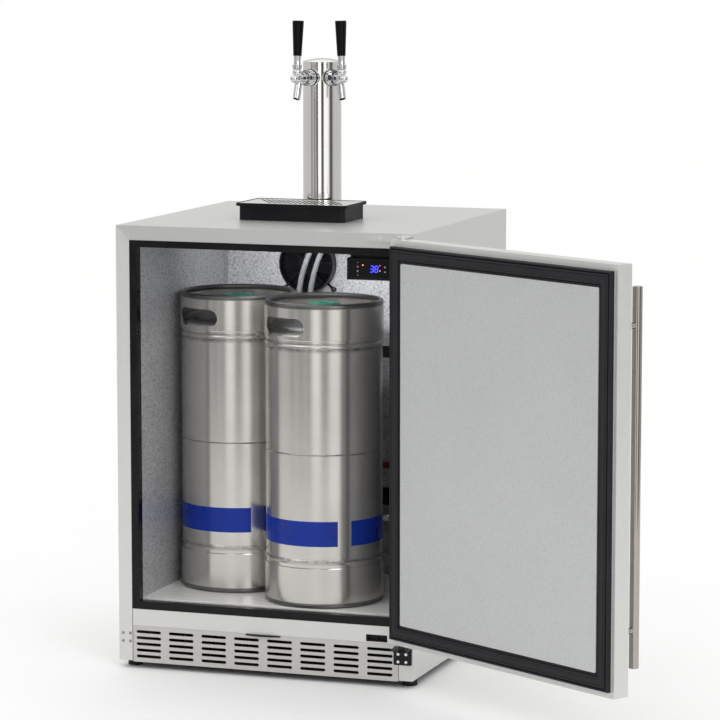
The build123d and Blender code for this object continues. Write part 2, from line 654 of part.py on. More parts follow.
PANEL_RAISE = 8.4
with BuildPart() as door_liner:
    door_slab(0, DOOR_INNER - SHEET, DOOR_INNER + 1, outline_size=gasket_size)
    door_slab(GASKET_WIDTH + 0.5, DOOR_INNER, DOOR_INNER + 1 + PANEL_RAISE, corner=4,
              outline_size=gasket_size)
    panel_rim = door_liner.faces().sort_by(Axis(DOOR_MIDDLE.origin, door_inward))[-1].edges()
    fillet(panel_rim, 1.2)
finish(door_liner, "door_liner")

gasket_foot = DOOR_INNER + 1
gasket_face = DOOR_INNER + GASKET_PROUD
with BuildPart() as door_gasket:
    door_slab(0, gasket_foot, gasket_foot + 5, outline_size=gasket_size)
    door_slab(2, gasket_foot + 5, gasket_face, corner=2, outline_size=gasket_size)
    door_slab(7, gasket_face - 2.5, gasket_face, Mode.SUBTRACT, outline_size=gasket_size)
    door_slab(8.2, gasket_face - 2.5, gasket_face - 0.8, outline_size=gasket_size)
    door_slab(GASKET_WIDTH, gasket_foot, gasket_face + 1, Mode.SUBTRACT, outline_size=gasket_size)
finish(door_gasket, "door_gasket")

handle_foot = DOOR_MIDDLE.from_local_coords((HANDLE_X, 0, -HANDLE_OFF))
with BuildPart() as door_handle:
    rod((handle_foot.X, handle_foot.Y, HANDLE_BOTTOM), (handle_foot.X, handle_foot.Y, HANDLE_TOP),
        HANDLE_RADIUS)
    fillet(door_handle.edges().filter_by(GeomType.CIRCLE), 1.0)
    for height in post_heights:
        with BuildSketch(DOOR_MIDDLE.offset(-DOOR_OUTER)):
            with Locations((HANDLE_X, height)):
                Circle(POST_RADIUS)
        extrude(amount=-(HANDLE_OFF - DOOR_OUTER))
finish(door_handle, "door_handle")

with BuildPart() as door_bushes:
    for outer, inner in ((DOOR_BOTTOM, 1), (DOOR_TOP, -1)):
        rod((PIVOT_X, PIVOT_Y, outer), (PIVOT_X, PIVOT_Y, outer + inner * 18), BUSH_RADIUS)
        rod((PIVOT_X, PIVOT_Y, outer), (PIVOT_X, PIVOT_Y, outer - inner * 1.4), 9)
        rod((PIVOT_X, PIVOT_Y, outer - inner * 5), (PIVOT_X, PIVOT_Y, outer + inner * 16),
            PIN_RADIUS + RUNNING_GAP, mode=Mode.SUBTRACT)
finish(door_bushes, "door_bushes")

# ---------------------------------------------------------------- beer tower
COLUMN_WALL = 1.5
FLANGE_TOP = CABINET_TOP + 5.0
SHANK_RADIUS = 8.0
tap_turns = {
    "left": radians(-90 + TOWER_TURN_DEG - TAP_HALF_ANGLE_DEG),
    "right": radians(-90 + TOWER_TURN_DEG + TAP_HALF_ANGLE_DEG),
}


def tap_point(turn, reach, z):
    """A point at a reach from the tower's axis, in the direction of one tap."""
    return (TOWER_X + reach * cos(turn), TOWER_Y + reach * sin(turn), z)


def tap_side_plane(turn):
    """The upright plane through the tower's axis and one tap: outwards and up."""
    return Plane(
        origin=(TOWER_X, TOWER_Y, 0), x_dir=(cos(turn), sin(turn), 0), z_dir=(sin(turn), -cos(turn), 0)
    )


with BuildPart() as tower_column:
    with Locations((TOWER_X, TOWER_Y, CABINET_TOP)):
        Cylinder(42, FLANGE_TOP - CABINET_TOP, align=(Align.CENTER, Align.CENTER, Align.MIN))
    with Locations((TOWER_X, TOWER_Y, FLANGE_TOP)):
        Cylinder(COLUMN_RADIUS, COLUMN_TOP - FLANGE_TOP, align=(Align.CENTER, Align.CENTER, Align.MIN))
    with Locations((TOWER_X, TOWER_Y, CABINET_TOP)):
        Cylinder(COLUMN_RADIUS - COLUMN_WALL, 400, align=(Align.CENTER, Align.CENTER, Align.MIN),
                 mode=Mode.SUBTRACT)
    for turn in tap_turns.values():
        rod(tap_point(turn, 20, SHANK_Z), tap_point(turn, 50, SHANK_Z), SHANK_RADIUS + 0.4,
            mode=Mode.SUBTRACT)
finish(tower_column, "tower_column")

CAP_RADIUS = 38.6
CAP_PLUG = 36.2
CAP_DOME = 6.5
cap_sphere = (CAP_RADIUS ** 2 + CAP_DOME ** 2) / (2 * CAP_DOME)
cap_middle = COLUMN_TOP + 2 + CAP_DOME - cap_sphere + sqrt(cap_sphere ** 2 - 20 ** 2)
with BuildPart() as tower_cap:
    with BuildSketch(front_plane(TOWER_Y)):
        with BuildLine():
            Polyline((TOWER_X, COLUMN_TOP - 10), (TOWER_X + CAP_PLUG, COLUMN_TOP - 10),
                     (TOWER_X + CAP_PLUG, COLUMN_TOP), (TOWER_X + CAP_RADIUS, COLUMN_TOP),
                     (TOWER_X + CAP_RADIUS, COLUMN_TOP + 2))
            ThreePointArc((TOWER_X + CAP_RADIUS, COLUMN_TOP + 2), (TOWER_X + 20, cap_middle),
                          (TOWER_X, COLUMN_TOP + 2 + CAP_DOME))
            Line((TOWER_X, COLUMN_TOP + 2 + CAP_DOME), (TOWER_X, COLUMN_TOP - 10))
        make_face()
    revolve(axis=Axis((TOWER_X, TOWER_Y, 0), (0, 0, 1)))
finish(tower_cap, "tower_cap")

HOSE_TOP = 1120.0
HOSE_REACH = 18.0
NUT_CLEARANCE = 0.1
with BuildPart() as faucet_shanks:
    # for each tap: the threaded shank with its elbow and inner nut, then the flange and coupling nut
    for turn in tap_turns.values():
        rod(tap_point(turn, 30, SHANK_Z), tap_point(turn, 42.5, SHANK_Z), 16.8)
        rod(tap_point(turn, 42.5, SHANK_Z), tap_point(turn, 46, SHANK_Z), 12)
        rod(tap_point(turn, 46, SHANK_Z), tap_point(turn, 60, SHANK_Z), 15.5)
        rod(tap_point(turn, 60, SHANK_Z), tap_point(turn, 66, SHANK_Z), 13)
    with Locations((TOWER_X, TOWER_Y, SHANK_Z)):
        Cylinder(COLUMN_RADIUS, 60, mode=Mode.SUBTRACT)
    for turn in tap_turns.values():
        rod(tap_point(turn, 20, SHANK_Z), tap_point(turn, 70, SHANK_Z), SHANK_RADIUS + NUT_CLEARANCE,
            mode=Mode.SUBTRACT)
        hole_ring = Plane(origin=tap_point(turn, 53, SHANK_Z), z_dir=(cos(turn), sin(turn), 0))
        for step in range(6):
            angle = radians(60 * step + 30)
            start = hole_ring.from_local_coords((12 * cos(angle), 12 * sin(angle), 0))
            end = hole_ring.from_local_coords((17 * cos(angle), 17 * sin(angle), 0))
            rod(start, end, 1.9, mode=Mode.SUBTRACT)
    for turn in tap_turns.values():
        rod(tap_point(turn, HOSE_REACH, SHANK_Z), tap_point(turn, 74, SHANK_Z), SHANK_RADIUS)
        rod(tap_point(turn, HOSE_REACH, HOSE_TOP), tap_point(turn, HOSE_REACH, SHANK_Z), 4.5)
        rod(tap_point(turn, 28, SHANK_Z), tap_point(turn, 33.5, SHANK_Z), 12.3)
finish(faucet_shanks, "faucet_shanks")

SPOUT_END = (94.5, 1105.5)
SPOUT_LEAN_DEG = 15.0
SPOUT_CUT_DEG = 24.0
SPOUT_LENGTH = 36.0
SPOUT_RADIUS = 7.4
SPOUT_BORE = 6.2
SPOUT_BORE_DEPTH = 25.0
BALL_RADIUS = 9.0
NECK_RADIUS = 7.4
BODY_RADIUS = 8.8
FRONT_BALL_REACH = TAP_REACH + 9.5
neck_drop = sqrt(BALL_RADIUS ** 2 - NECK_RADIUS ** 2)


def along_spout(distance):
    """A (reach, height) point up the spout's axis from its open end; a negative distance is outside."""
    lean = radians(SPOUT_LEAN_DEG)
    return (SPOUT_END[0] - distance * sin(lean), SPOUT_END[1] + distance * cos(lean))


with BuildPart() as faucet_bodies:
    for turn in tap_turns.values():
        # the upright body with the ball that the lever turns on
        with BuildSketch(tap_side_plane(turn)) as upright:
            with BuildLine():
                ThreePointArc((TAP_REACH, 1135), (TAP_REACH + 6.4, 1138), (TAP_REACH + BODY_RADIUS, 1144))
                Polyline((TAP_REACH + BODY_RADIUS, 1144), (TAP_REACH + BODY_RADIUS, 1151),
                         (TAP_REACH + NECK_RADIUS, LEVER_PIVOT_Z - neck_drop))
                ThreePointArc(
                    (TAP_REACH + NECK_RADIUS, LEVER_PIVOT_Z - neck_drop),
                    (TAP_REACH + BALL_RADIUS, LEVER_PIVOT_Z),
                    (TAP_REACH, LEVER_PIVOT_Z + BALL_RADIUS),
                )
                Line((TAP_REACH, LEVER_PIVOT_Z + BALL_RADIUS), (TAP_REACH, 1135))
            make_face()
        revolve(upright.sketch, axis=Axis(tap_point(turn, TAP_REACH, 0), (0, 0, 1)))
        # the level inlet, and the front knob
        rod(tap_point(turn, 74, SHANK_Z), tap_point(turn, TAP_REACH, SHANK_Z), BODY_RADIUS)
        rod(tap_point(turn, 74, SHANK_Z), tap_point(turn, 78, SHANK_Z), 11.5)
        rod(tap_point(turn, TAP_REACH, SHANK_Z), tap_point(turn, FRONT_BALL_REACH, SHANK_Z), 6.5)
        with Locations(tap_point(turn, FRONT_BALL_REACH, SHANK_Z)):
            Sphere(8.4)
        # the leaning spout, cut off at a slant, with its bore
        rod(tap_point(turn, *along_spout(-6)), tap_point(turn, *along_spout(SPOUT_LENGTH)), SPOUT_RADIUS)
        with Locations(tap_point(turn, *along_spout(SPOUT_LENGTH))):
            Sphere(BODY_RADIUS)
        with BuildSketch(tap_side_plane(turn)) as below_spout:
            with Locations(SPOUT_END):
                Rectangle(40, 20, rotation=SPOUT_CUT_DEG, align=(Align.CENTER, Align.MAX))
        extrude(below_spout.sketch, amount=15, both=True, mode=Mode.SUBTRACT)
        rod(tap_point(turn, *along_spout(-8)), tap_point(turn, *along_spout(SPOUT_BORE_DEPTH)),
            SPOUT_BORE, mode=Mode.SUBTRACT)
finish(faucet_bodies, "faucet_bodies")

# heights on a lever are measured up its own line from its pivot
LEVER_LEAN_DEG = 2.5
COLLAR_BOTTOM = 6.0
COLLAR_TOP = 15.0
FERRULE_TOP = 32.0
HANDLE_END = 101.0
GRIP_RADIUS = (8.3, 11.4)
for side, turn in tap_turns.items():
    lean = radians(LEVER_LEAN_DEG)
    out_and_up = Vector(cos(turn) * cos(lean), sin(turn) * cos(lean), sin(lean))
    up_and_back = Vector(-cos(turn) * sin(lean), -sin(turn) * sin(lean), cos(lean))
    pivot = tap_point(turn, TAP_REACH, LEVER_PIVOT_Z)
    lever_plane = Plane(origin=pivot, x_dir=out_and_up, z_dir=out_and_up.cross(up_and_back))
    lever_axis = Axis(pivot, up_and_back)
    cup = BALL_RADIUS + 0.3
    cup_edge = sqrt(cup ** 2 - COLLAR_BOTTOM ** 2)
    with BuildPart() as lever:
        with BuildSketch(lever_plane):
            with BuildLine():
                ThreePointArc((0, cup), (cup * sin(radians(25)), cup * cos(radians(25))),
                              (cup_edge, COLLAR_BOTTOM))
                Polyline((cup_edge, COLLAR_BOTTOM), (9.2, COLLAR_BOTTOM + 0.6), (9.2, 9), (8.2, 9.8),
                         (9.6, 11), (9.6, 14), (7.2, COLLAR_TOP), (6.8, 22), (7.4, FERRULE_TOP - 1),
                         (7.4, FERRULE_TOP), (0, FERRULE_TOP), (0, cup))
            make_face()
        revolve(axis=lever_axis)
    finish(lever, f"tap_lever_{side}")

    with BuildPart() as grip:
        with BuildSketch(lever_plane):
            with BuildLine():
                Polyline((0, FERRULE_TOP), (GRIP_RADIUS[0], FERRULE_TOP), (GRIP_RADIUS[1], HANDLE_END - 2))
                ThreePointArc((GRIP_RADIUS[1], HANDLE_END - 2), (GRIP_RADIUS[1] - 0.6, HANDLE_END - 0.6),
                              (GRIP_RADIUS[1] - 2, HANDLE_END))
                Polyline((GRIP_RADIUS[1] - 2, HANDLE_END), (0, HANDLE_END), (0, FERRULE_TOP))
            make_face()
        revolve(axis=lever_axis)
    finish(grip, f"tap_handle_{side}")

# ---------------------------------------------------------------- beer lines
hose_top_left = tap_point(tap_turns["left"], HOSE_REACH, HOSE_TOP)
hose_top_right = tap_point(tap_turns["right"], HOSE_REACH, HOSE_TOP)
HOSE_ROUTES = {
    "left": [
        hose_top_left, (hose_top_left[0], hose_top_left[1], 1052), (-13, 41, 962), (-16, 47, 875),
        (-21, 50, 818), (-45, 54, 768), (-62, 66, 712), (-69, 82, 655), (-71, 97, 585), (-75, 109, 508),
        (-82, 117, 432), (-93, 127, 360), (-112, 138, 298), (-142, 146, 257), (-180, 148, 239),
        (-216, 144, 241.8),
    ],
    "right": [
        hose_top_right, (hose_top_right[0], hose_top_right[1], 1050), (7, 45, 960), (6, 50, 873),
        (1, 53, 817), (-22, 57, 767), (-39, 69, 712), (-46, 86, 655), (-47, 102, 585), (-44, 115, 508),
        (-38, 123, 432), (-27, 131, 360), (-8, 141, 298), (22, 148, 257), (60, 149, 239),
        (96, 145, 241.8),
    ],
}


def route_radii(points):
    """One arc radius for each inner corner: as large as its two runs allow."""
    radii = []
    for before, here, after in zip(points, points[1:], points[2:]):
        incoming = Vector(*here) - Vector(*before)
        outgoing = Vector(*after) - Vector(*here)
        half_turn = radians(incoming.get_angle(outgoing)) / 2
        radii.append(0.45 * min(incoming.length, outgoing.length) / tan(half_turn))
    return radii


NUT_RADIUS = 11.0
for side, points in HOSE_ROUTES.items():
    radii = route_radii(points)
    with BuildPart() as hose:
        with BuildLine() as hose_path:
            FilletPolyline(*points, radius=radii)
        with BuildSketch(Plane(origin=hose_path.line @ 0, z_dir=hose_path.line % 0)):
            Circle(HOSE_RADIUS)
        sweep(path=hose_path.line)
    finish(hose, f"beer_line_{side}")
    hose_length = sum(edge.length for edge in hose_path.edges())
    volume_ratio = hose.part.volume / (pi * HOSE_RADIUS ** 2 * hose_length)
    print(f"beer_line_{side} length {hose_length:.0f} volume ratio {volume_ratio:.4f}")
    print("  radii", [round(radius) for radius in radii])

    end = Vector(*points[-1])
    heading = (end - Vector(*points[-2])).normalized()
    sideways = Vector(-heading.Y, heading.X, 0).normalized()
    with BuildPart() as nut:
        with BuildSketch(Plane(origin=end, x_dir=sideways, z_dir=heading)):
            RegularPolygon(NUT_RADIUS, 6, major_radius=False)
        extrude(amount=16)
        nut_end = end + heading * 16
        rod(nut_end, nut_end + heading * 5, 8.5)
        rod(nut_end - heading * 3, nut_end + heading * 6, 5, mode=Mode.SUBTRACT)
    finish(nut, f"beer_nut_{side}")

# ---------------------------------------------------------------- drip tray
TRAY_X = (-119.5, 100.5)
TRAY_Y = (-118.0, 1.0)
TRAY_HEIGHT = 34.0
TRAY_RIM = 5.5
TRAY_WALL = 2.5
tray_centre = ((TRAY_X[0] + TRAY_X[1]) / 2, (TRAY_Y[0] + TRAY_Y[1]) / 2)
tray_size = (TRAY_X[1] - TRAY_X[0], TRAY_Y[1] - TRAY_Y[0])


def tray_plate(z, height, grow, corner, mode=Mode.ADD):
    """A plate of the tray's outline, grown by an amount, in the part being built."""
    with BuildSketch(Plane.XY.offset(z)) as outline:
        with Locations(tray_centre):
            RectangleRounded(tray_size[0] + 2 * grow, tray_size[1] + 2 * grow, corner)
    extrude(outline.sketch, amount=height, mode=mode)


grid_z = CABINET_TOP + TRAY_HEIGHT - 1.6
with BuildPart() as drip_tray:
    tray_plate(CABINET_TOP, TRAY_HEIGHT - 6, 0, 8)
    tray_plate(CABINET_TOP + TRAY_HEIGHT - 6, 6, TRAY_RIM, 9)
    fillet(drip_tray.faces().sort_by(Axis.Z)[-1].edges(), 0.8)
    tray_plate(CABINET_TOP + TRAY_WALL, TRAY_HEIGHT, -TRAY_WALL, 6, mode=Mode.SUBTRACT)
    tray_plate(grid_z - 0.4, 5, 2.2, 7, mode=Mode.SUBTRACT)
finish(drip_tray, "drip_tray")

GRID_SLOT_DEG = -58.0
with BuildPart() as drip_grid:
    tray_plate(grid_z - 0.4, 1.4, 1.8, 6.6)
    with BuildSketch(Plane.XY.offset(grid_z - 1)):
        with Locations(tray_centre):
            with GridLocations(10.6, 1, 15, 1):
                SlotOverall(100, 4.4, rotation=GRID_SLOT_DEG)
    extrude(amount=4, mode=Mode.SUBTRACT)
finish(drip_grid, "drip_grid")

# ---------------------------------------------------------------- kegs
KEG_TOP = KEG_BOTTOM + KEG_HEIGHT
RING_BOTTOM = 655.0
SKIRT_TOP = 216.0
BARREL_RADIUS = 114.0
for side, (x, y) in KEGS.items():
    keg_axis = Axis((x, y, 0), (0, 0, 1))

    def turned(radius, z):
        """A point of a keg's half section."""
        return (x + radius, z)

    with BuildPart() as keg:
        # the sealed barrel: ends are shallow domes, with rolled ribs near the rings and a middle seam
        with BuildSketch(front_plane(y)):
            with BuildLine():
                ThreePointArc(turned(0, 158), turned(70, 166), turned(104, 190))
                ThreePointArc(turned(104, 190), turned(112, 203), turned(BARREL_RADIUS, SKIRT_TOP))
                Polyline(turned(BARREL_RADIUS, SKIRT_TOP), turned(BARREL_RADIUS, 222), turned(115.4, 226),
                         turned(115.4, 229), turned(BARREL_RADIUS, 232), turned(BARREL_RADIUS, 434.6),
                         turned(115.2, 436), turned(BARREL_RADIUS, 437.4), turned(BARREL_RADIUS, 640),
                         turned(115.4, 642), turned(115.4, 645.5), turned(BARREL_RADIUS, 648),
                         turned(BARREL_RADIUS, RING_BOTTOM))
                ThreePointArc(turned(BARREL_RADIUS, RING_BOTTOM), turned(106, 672), turned(88, 682))
                ThreePointArc(turned(88, 682), turned(60, 690), turned(28.2, 694))
                Polyline(turned(28.2, 694), turned(28.2, 706), turned(0, 706), turned(0, 158))
            make_face()
        revolve(axis=keg_axis)
        with BuildSketch(front_plane(y)):
            with BuildLine():
                ThreePointArc(turned(0, 160), turned(70, 168), turned(102, 191))
                Polyline(turned(102, 191), turned(112.4, SKIRT_TOP), turned(112.4, RING_BOTTOM - 1),
                         turned(105, 670), turned(86, 680), turned(26, 692), turned(0, 692), turned(0, 160))
            make_face()
        revolve(axis=keg_axis, mode=Mode.SUBTRACT)
    finish(keg, f"keg_{side}_barrel")

    with BuildPart() as rings:
        # the carrying ring on top, with a rolled rim, and the foot ring below
        with BuildSketch(front_plane(y)):
            with BuildLine():
                Polyline(turned(114.4, RING_BOTTOM + 0.6), turned(115.6, RING_BOTTOM + 0.6),
                         turned(KEG_RADIUS, RING_BOTTOM + 2), turned(KEG_RADIUS, KEG_TOP - 5.5))
                ThreePointArc(turned(KEG_RADIUS, KEG_TOP - 5.5), turned(KEG_RADIUS - 5, KEG_TOP),
                              turned(KEG_RADIUS - 10, KEG_TOP - 5.5))
                ThreePointArc(turned(KEG_RADIUS - 10, KEG_TOP - 5.5),
                              turned(KEG_RADIUS - 6, KEG_TOP - 10.4),
                              turned(KEG_RADIUS - 2, KEG_TOP - 9))
                Line(turned(KEG_RADIUS - 2, KEG_TOP - 9), turned(114.4, RING_BOTTOM + 0.6))
            make_face()
        revolve(axis=keg_axis)
        with BuildSketch(front_plane(y)):
            with BuildLine():
                Polyline(turned(114.3, SKIRT_TOP - 0.6), turned(115.6, SKIRT_TOP - 0.6),
                         turned(KEG_RADIUS, SKIRT_TOP - 2), turned(KEG_RADIUS, KEG_BOTTOM + 5.5))
                ThreePointArc(turned(KEG_RADIUS, KEG_BOTTOM + 5.5), turned(KEG_RADIUS - 5, KEG_BOTTOM),
                              turned(KEG_RADIUS - 10, KEG_BOTTOM + 5.5))
                ThreePointArc(turned(KEG_RADIUS - 10, KEG_BOTTOM + 5.5),
                              turned(KEG_RADIUS - 6, KEG_BOTTOM + 10.4),
                              turned(KEG_RADIUS - 2, KEG_BOTTOM + 9))
                Line(turned(KEG_RADIUS - 2, KEG_BOTTOM + 9), turned(114.3, SKIRT_TOP - 0.6))
            make_face()
        revolve(axis=keg_axis)
        for turn in (HAND_HOLE_DEG, HAND_HOLE_DEG + 180):
            out = (cos(radians(turn)), sin(radians(turn)), 0)
            with BuildSketch(Plane(origin=(x, y, 681), x_dir=(-out[1], out[0], 0), z_dir=out).offset(80)):
                SlotOverall(104, 35)
            extrude(amount=60, mode=Mode.SUBTRACT)
    finish(rings, f"keg_{side}_rings")

    with BuildPart() as cap:
        with BuildSketch(front_plane(y)):
            with BuildLine():
                Polyline(turned(0, 706.3), turned(28.6, 706.3), turned(28.6, 700), turned(31, 700),
                         turned(31, 716))
                ThreePointArc(turned(31, 716), turned(30.2, 718), turned(28, 718.6))
                Polyline(turned(28, 718.6), turned(22, 717.4), turned(0, 717.4), turned(0, 706.3))
            make_face()
        revolve(axis=keg_axis)
    finish(cap, f"keg_{side}_cap")
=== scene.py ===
import json
import math

import bmesh
import bpy
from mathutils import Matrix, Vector


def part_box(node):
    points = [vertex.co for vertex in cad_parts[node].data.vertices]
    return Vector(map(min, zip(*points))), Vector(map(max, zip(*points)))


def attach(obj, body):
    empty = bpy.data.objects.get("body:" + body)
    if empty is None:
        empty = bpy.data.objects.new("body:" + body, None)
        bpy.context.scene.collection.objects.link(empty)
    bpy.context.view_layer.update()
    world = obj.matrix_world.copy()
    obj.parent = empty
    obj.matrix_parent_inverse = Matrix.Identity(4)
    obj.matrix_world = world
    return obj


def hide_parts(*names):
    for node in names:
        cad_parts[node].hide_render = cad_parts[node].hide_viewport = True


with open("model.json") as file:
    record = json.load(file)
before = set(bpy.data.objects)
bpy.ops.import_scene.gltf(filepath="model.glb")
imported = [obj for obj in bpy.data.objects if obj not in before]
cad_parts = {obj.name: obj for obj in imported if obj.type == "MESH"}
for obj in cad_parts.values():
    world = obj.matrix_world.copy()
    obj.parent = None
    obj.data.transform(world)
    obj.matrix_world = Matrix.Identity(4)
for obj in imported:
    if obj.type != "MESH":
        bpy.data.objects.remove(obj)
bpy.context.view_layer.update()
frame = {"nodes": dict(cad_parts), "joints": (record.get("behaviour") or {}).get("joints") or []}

# The looks of an undercounter kegerator, in metres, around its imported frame. The origin is on the
# floor midway between the feet, +X is to the right seen from the front and -Y is the front.

MM = 0.001
UP = Vector((0, 0, 1))
ALONG_X = (1, 0, 0)
joints = {joint["name"]: joint for joint in frame["joints"]}


# ---------------------------------------------------------------- camera
CAMERA_PLACE = (2.323, -6.399, 1.4666)
CAMERA_YAW_DEG = 19.22
CAMERA_PITCH_DEG = 7.39
LENS_MM = 172.0
SENSOR_MM = 36.0
FAR_CLIP = 200.0
camera_data = bpy.data.cameras.new("camera")
camera_data.lens = LENS_MM
camera_data.sensor_width = SENSOR_MM
camera_data.clip_end = FAR_CLIP
camera = bpy.data.objects.new("camera", camera_data)
camera.location = CAMERA_PLACE
camera.rotation_euler = (math.radians(90 - CAMERA_PITCH_DEG), 0.0, math.radians(CAMERA_YAW_DEG))
bpy.context.scene.collection.objects.link(camera)
bpy.context.scene.camera = camera
bpy.context.scene.view_settings.view_transform = "Standard"


# ---------------------------------------------------------------- node helpers
class Nodes:
    """A short way to build one material's node tree."""

    def __init__(self, name):
        self.material = bpy.data.materials.new(name)
        self.material.use_nodes = True
        self.tree = self.material.node_tree
        self.shader = self.tree.nodes["Principled BSDF"]
        self.place = self.add("ShaderNodeTexCoord").outputs["Object"]

    def add(self, kind, **settings):
        node = self.tree.nodes.new(kind)
        for key, value in settings.items():
            setattr(node, key, value)
        return node

    def link(self, source, target):
        self.tree.links.new(source, target)

    def drive(self, socket, value):
        """Links a value to one of the shader's inputs."""
        self.link(value, self.shader.inputs[socket])

    def axis(self, letter):
        """The object's own coordinate along one axis."""
        split = self.add("ShaderNodeSeparateXYZ")
        self.link(self.place, split.inputs["Vector"])
        return split.outputs[letter]

    def set(self, **values):
        """Constant values, by socket name with _ for a space."""
        for key, value in values.items():
            self.shader.inputs[key.replace("_", " ")].default_value = value

    def stretched(self, stretch):
        """The object's own coordinates, scaled by an amount along each axis."""
        mapping = self.add("ShaderNodeMapping")
        mapping.inputs["Scale"].default_value = stretch
        self.link(self.place, mapping.inputs["Vector"])
        return mapping.outputs["Vector"]

    def noise(self, scale, stretch=(1, 1, 1), detail=3.0, roughness=0.5):
        texture = self.add("ShaderNodeTexNoise")
        texture.inputs["Scale"].default_value = scale
        texture.inputs["Detail"].default_value = detail
        texture.inputs["Roughness"].default_value = roughness
        self.link(self.stretched(stretch), texture.inputs["Vector"])
        return texture.outputs["Fac"]

    def spread(self, value, low, high, from_low=0.3, from_high=0.7):
        """A value turned from one range into another."""
        span = self.add("ShaderNodeMapRange")
        span.inputs["From Min"].default_value = from_low
        span.inputs["From Max"].default_value = from_high
        span.inputs["To Min"].default_value = low
        span.inputs["To Max"].default_value = high
        self.link(value, span.inputs["Value"])
        return span.outputs["Result"]

    def tint(self, value, dark, light):
        """A colour between two, by a value from 0 to 1."""
        mix = self.add("ShaderNodeMix", data_type="RGBA")
        mix.inputs["A"].default_value = (*dark, 1)
        mix.inputs["B"].default_value = (*light, 1)
        self.link(value, mix.inputs["Factor"])
        return mix.outputs["Result"]

    def math(self, operation, first, second):
        """Two numbers or sockets put through one operation."""
        node = self.add("ShaderNodeMath", operation=operation)
        for socket, value in zip(node.inputs, (first, second)):
            if isinstance(value, (int, float)):
                socket.default_value = value
            else:
                self.link(value, socket)
        return node.outputs["Value"]

    def bump(self, height, distance, strength=1.0):
        node = self.add("ShaderNodeBump")
        node.inputs["Distance"].default_value = distance
        node.inputs["Strength"].default_value = strength
        self.link(height, node.inputs["Height"])
        self.drive("Normal", node.outputs["Normal"])


def shade(colour, factor):
    """A colour made darker or lighter."""
    return tuple(channel * factor for channel in colour)


# ---------------------------------------------------------------- materials
def brushed(name, colour, roughness, stretch, grain=0.05, depth=0.03 * MM, metal=1.0, patches=0.03):
    """Brushed metal: fine lines along the axis whose stretch is small, and broad soft patches.

    Equal stretches give an even grain instead of lines.
    """
    nodes = Nodes(name)
    nodes.set(Metallic=metal)
    lines = nodes.noise(1.0, stretch, detail=4.0, roughness=0.65)
    broad = nodes.noise(5.0, detail=2.0)
    mixed = nodes.math("ADD", nodes.spread(lines, -grain, grain), nodes.spread(broad, -patches, patches))
    level = nodes.spread(mixed, 0, 1, -0.1, 0.1)
    nodes.drive("Base Color", nodes.tint(level, shade(colour, 0.9), shade(colour, 1.08)))
    nodes.drive("Roughness", nodes.spread(lines, roughness - 0.06, roughness + 0.06))
    nodes.bump(lines, depth, 0.5)
    return nodes.material


def embossed(name, dark, light, roughness, depth, size):
    """Stucco-embossed sheet: a close pattern of small raised pebbles, of about one size, slightly warped."""
    nodes = Nodes(name)
    nodes.set(Metallic=0.3)
    cells = nodes.add("ShaderNodeTexVoronoi", feature="SMOOTH_F1")
    cells.inputs["Scale"].default_value = 1.0 / size
    cells.inputs["Randomness"].default_value = 1.0
    warp = nodes.add("ShaderNodeTexNoise")
    warp.inputs["Scale"].default_value = 0.5 / size
    nodes.link(nodes.place, warp.inputs["Vector"])
    shifted = nodes.add("ShaderNodeVectorMath", operation="MULTIPLY_ADD")
    shifted.inputs[1].default_value = (size, size, size)
    nodes.link(warp.outputs["Color"], shifted.inputs[0])
    nodes.link(nodes.place, shifted.inputs[2])
    nodes.link(shifted.outputs["Vector"], cells.inputs["Vector"])
    height = nodes.math("SUBTRACT", 1.0, cells.outputs["Distance"])
    broad = nodes.spread(nodes.noise(6.0), 0, 0.15)
    # the pebble tops lighter and the hollows between them darker: painted shade
    level = nodes.math("ADD", nodes.spread(height, 0, 0.85, 0.35, 0.85), broad)
    nodes.drive("Base Color", nodes.tint(level, dark, light))
    nodes.drive("Roughness", nodes.spread(height, roughness + 0.08, roughness - 0.08, 0.2, 0.9))
    nodes.bump(height, depth, 0.8)
    return nodes.material


def moulded(name, dark, light, roughness, grain=0.6 * MM, depth=0.05 * MM, shine=0.5):
    """Moulded plastic, rubber or paint: a fine grain with slight wear in colour and gloss."""
    nodes = Nodes(name)
    nodes.set(Specular_IOR_Level=shine)
    fine = nodes.noise(1.0 / grain, detail=2.0)
    broad = nodes.noise(14.0, detail=3.0)
    nodes.drive("Base Color", nodes.tint(nodes.spread(broad, 0, 1), dark, light))
    nodes.drive("Roughness", nodes.spread(broad, roughness - 0.05, roughness + 0.07))
    nodes.bump(fine, depth, 0.5)
    return nodes.material


# heights on a keg: each dull weld or dent line with half its width, and the edge of the domed head
KEG_LINES = ((0.6385, 0.006), (0.6500, 0.003), (0.2290, 0.005), (0.4360, 0.0020))
HEAD_EDGE = (0.664, 0.668)
# the rolled rims of the carrying ring and the foot ring, and how far from them the shade fades out
RIM_HEIGHTS = (0.7270, 0.1370)
RIM_FADE = (0.0085, 0.0105)


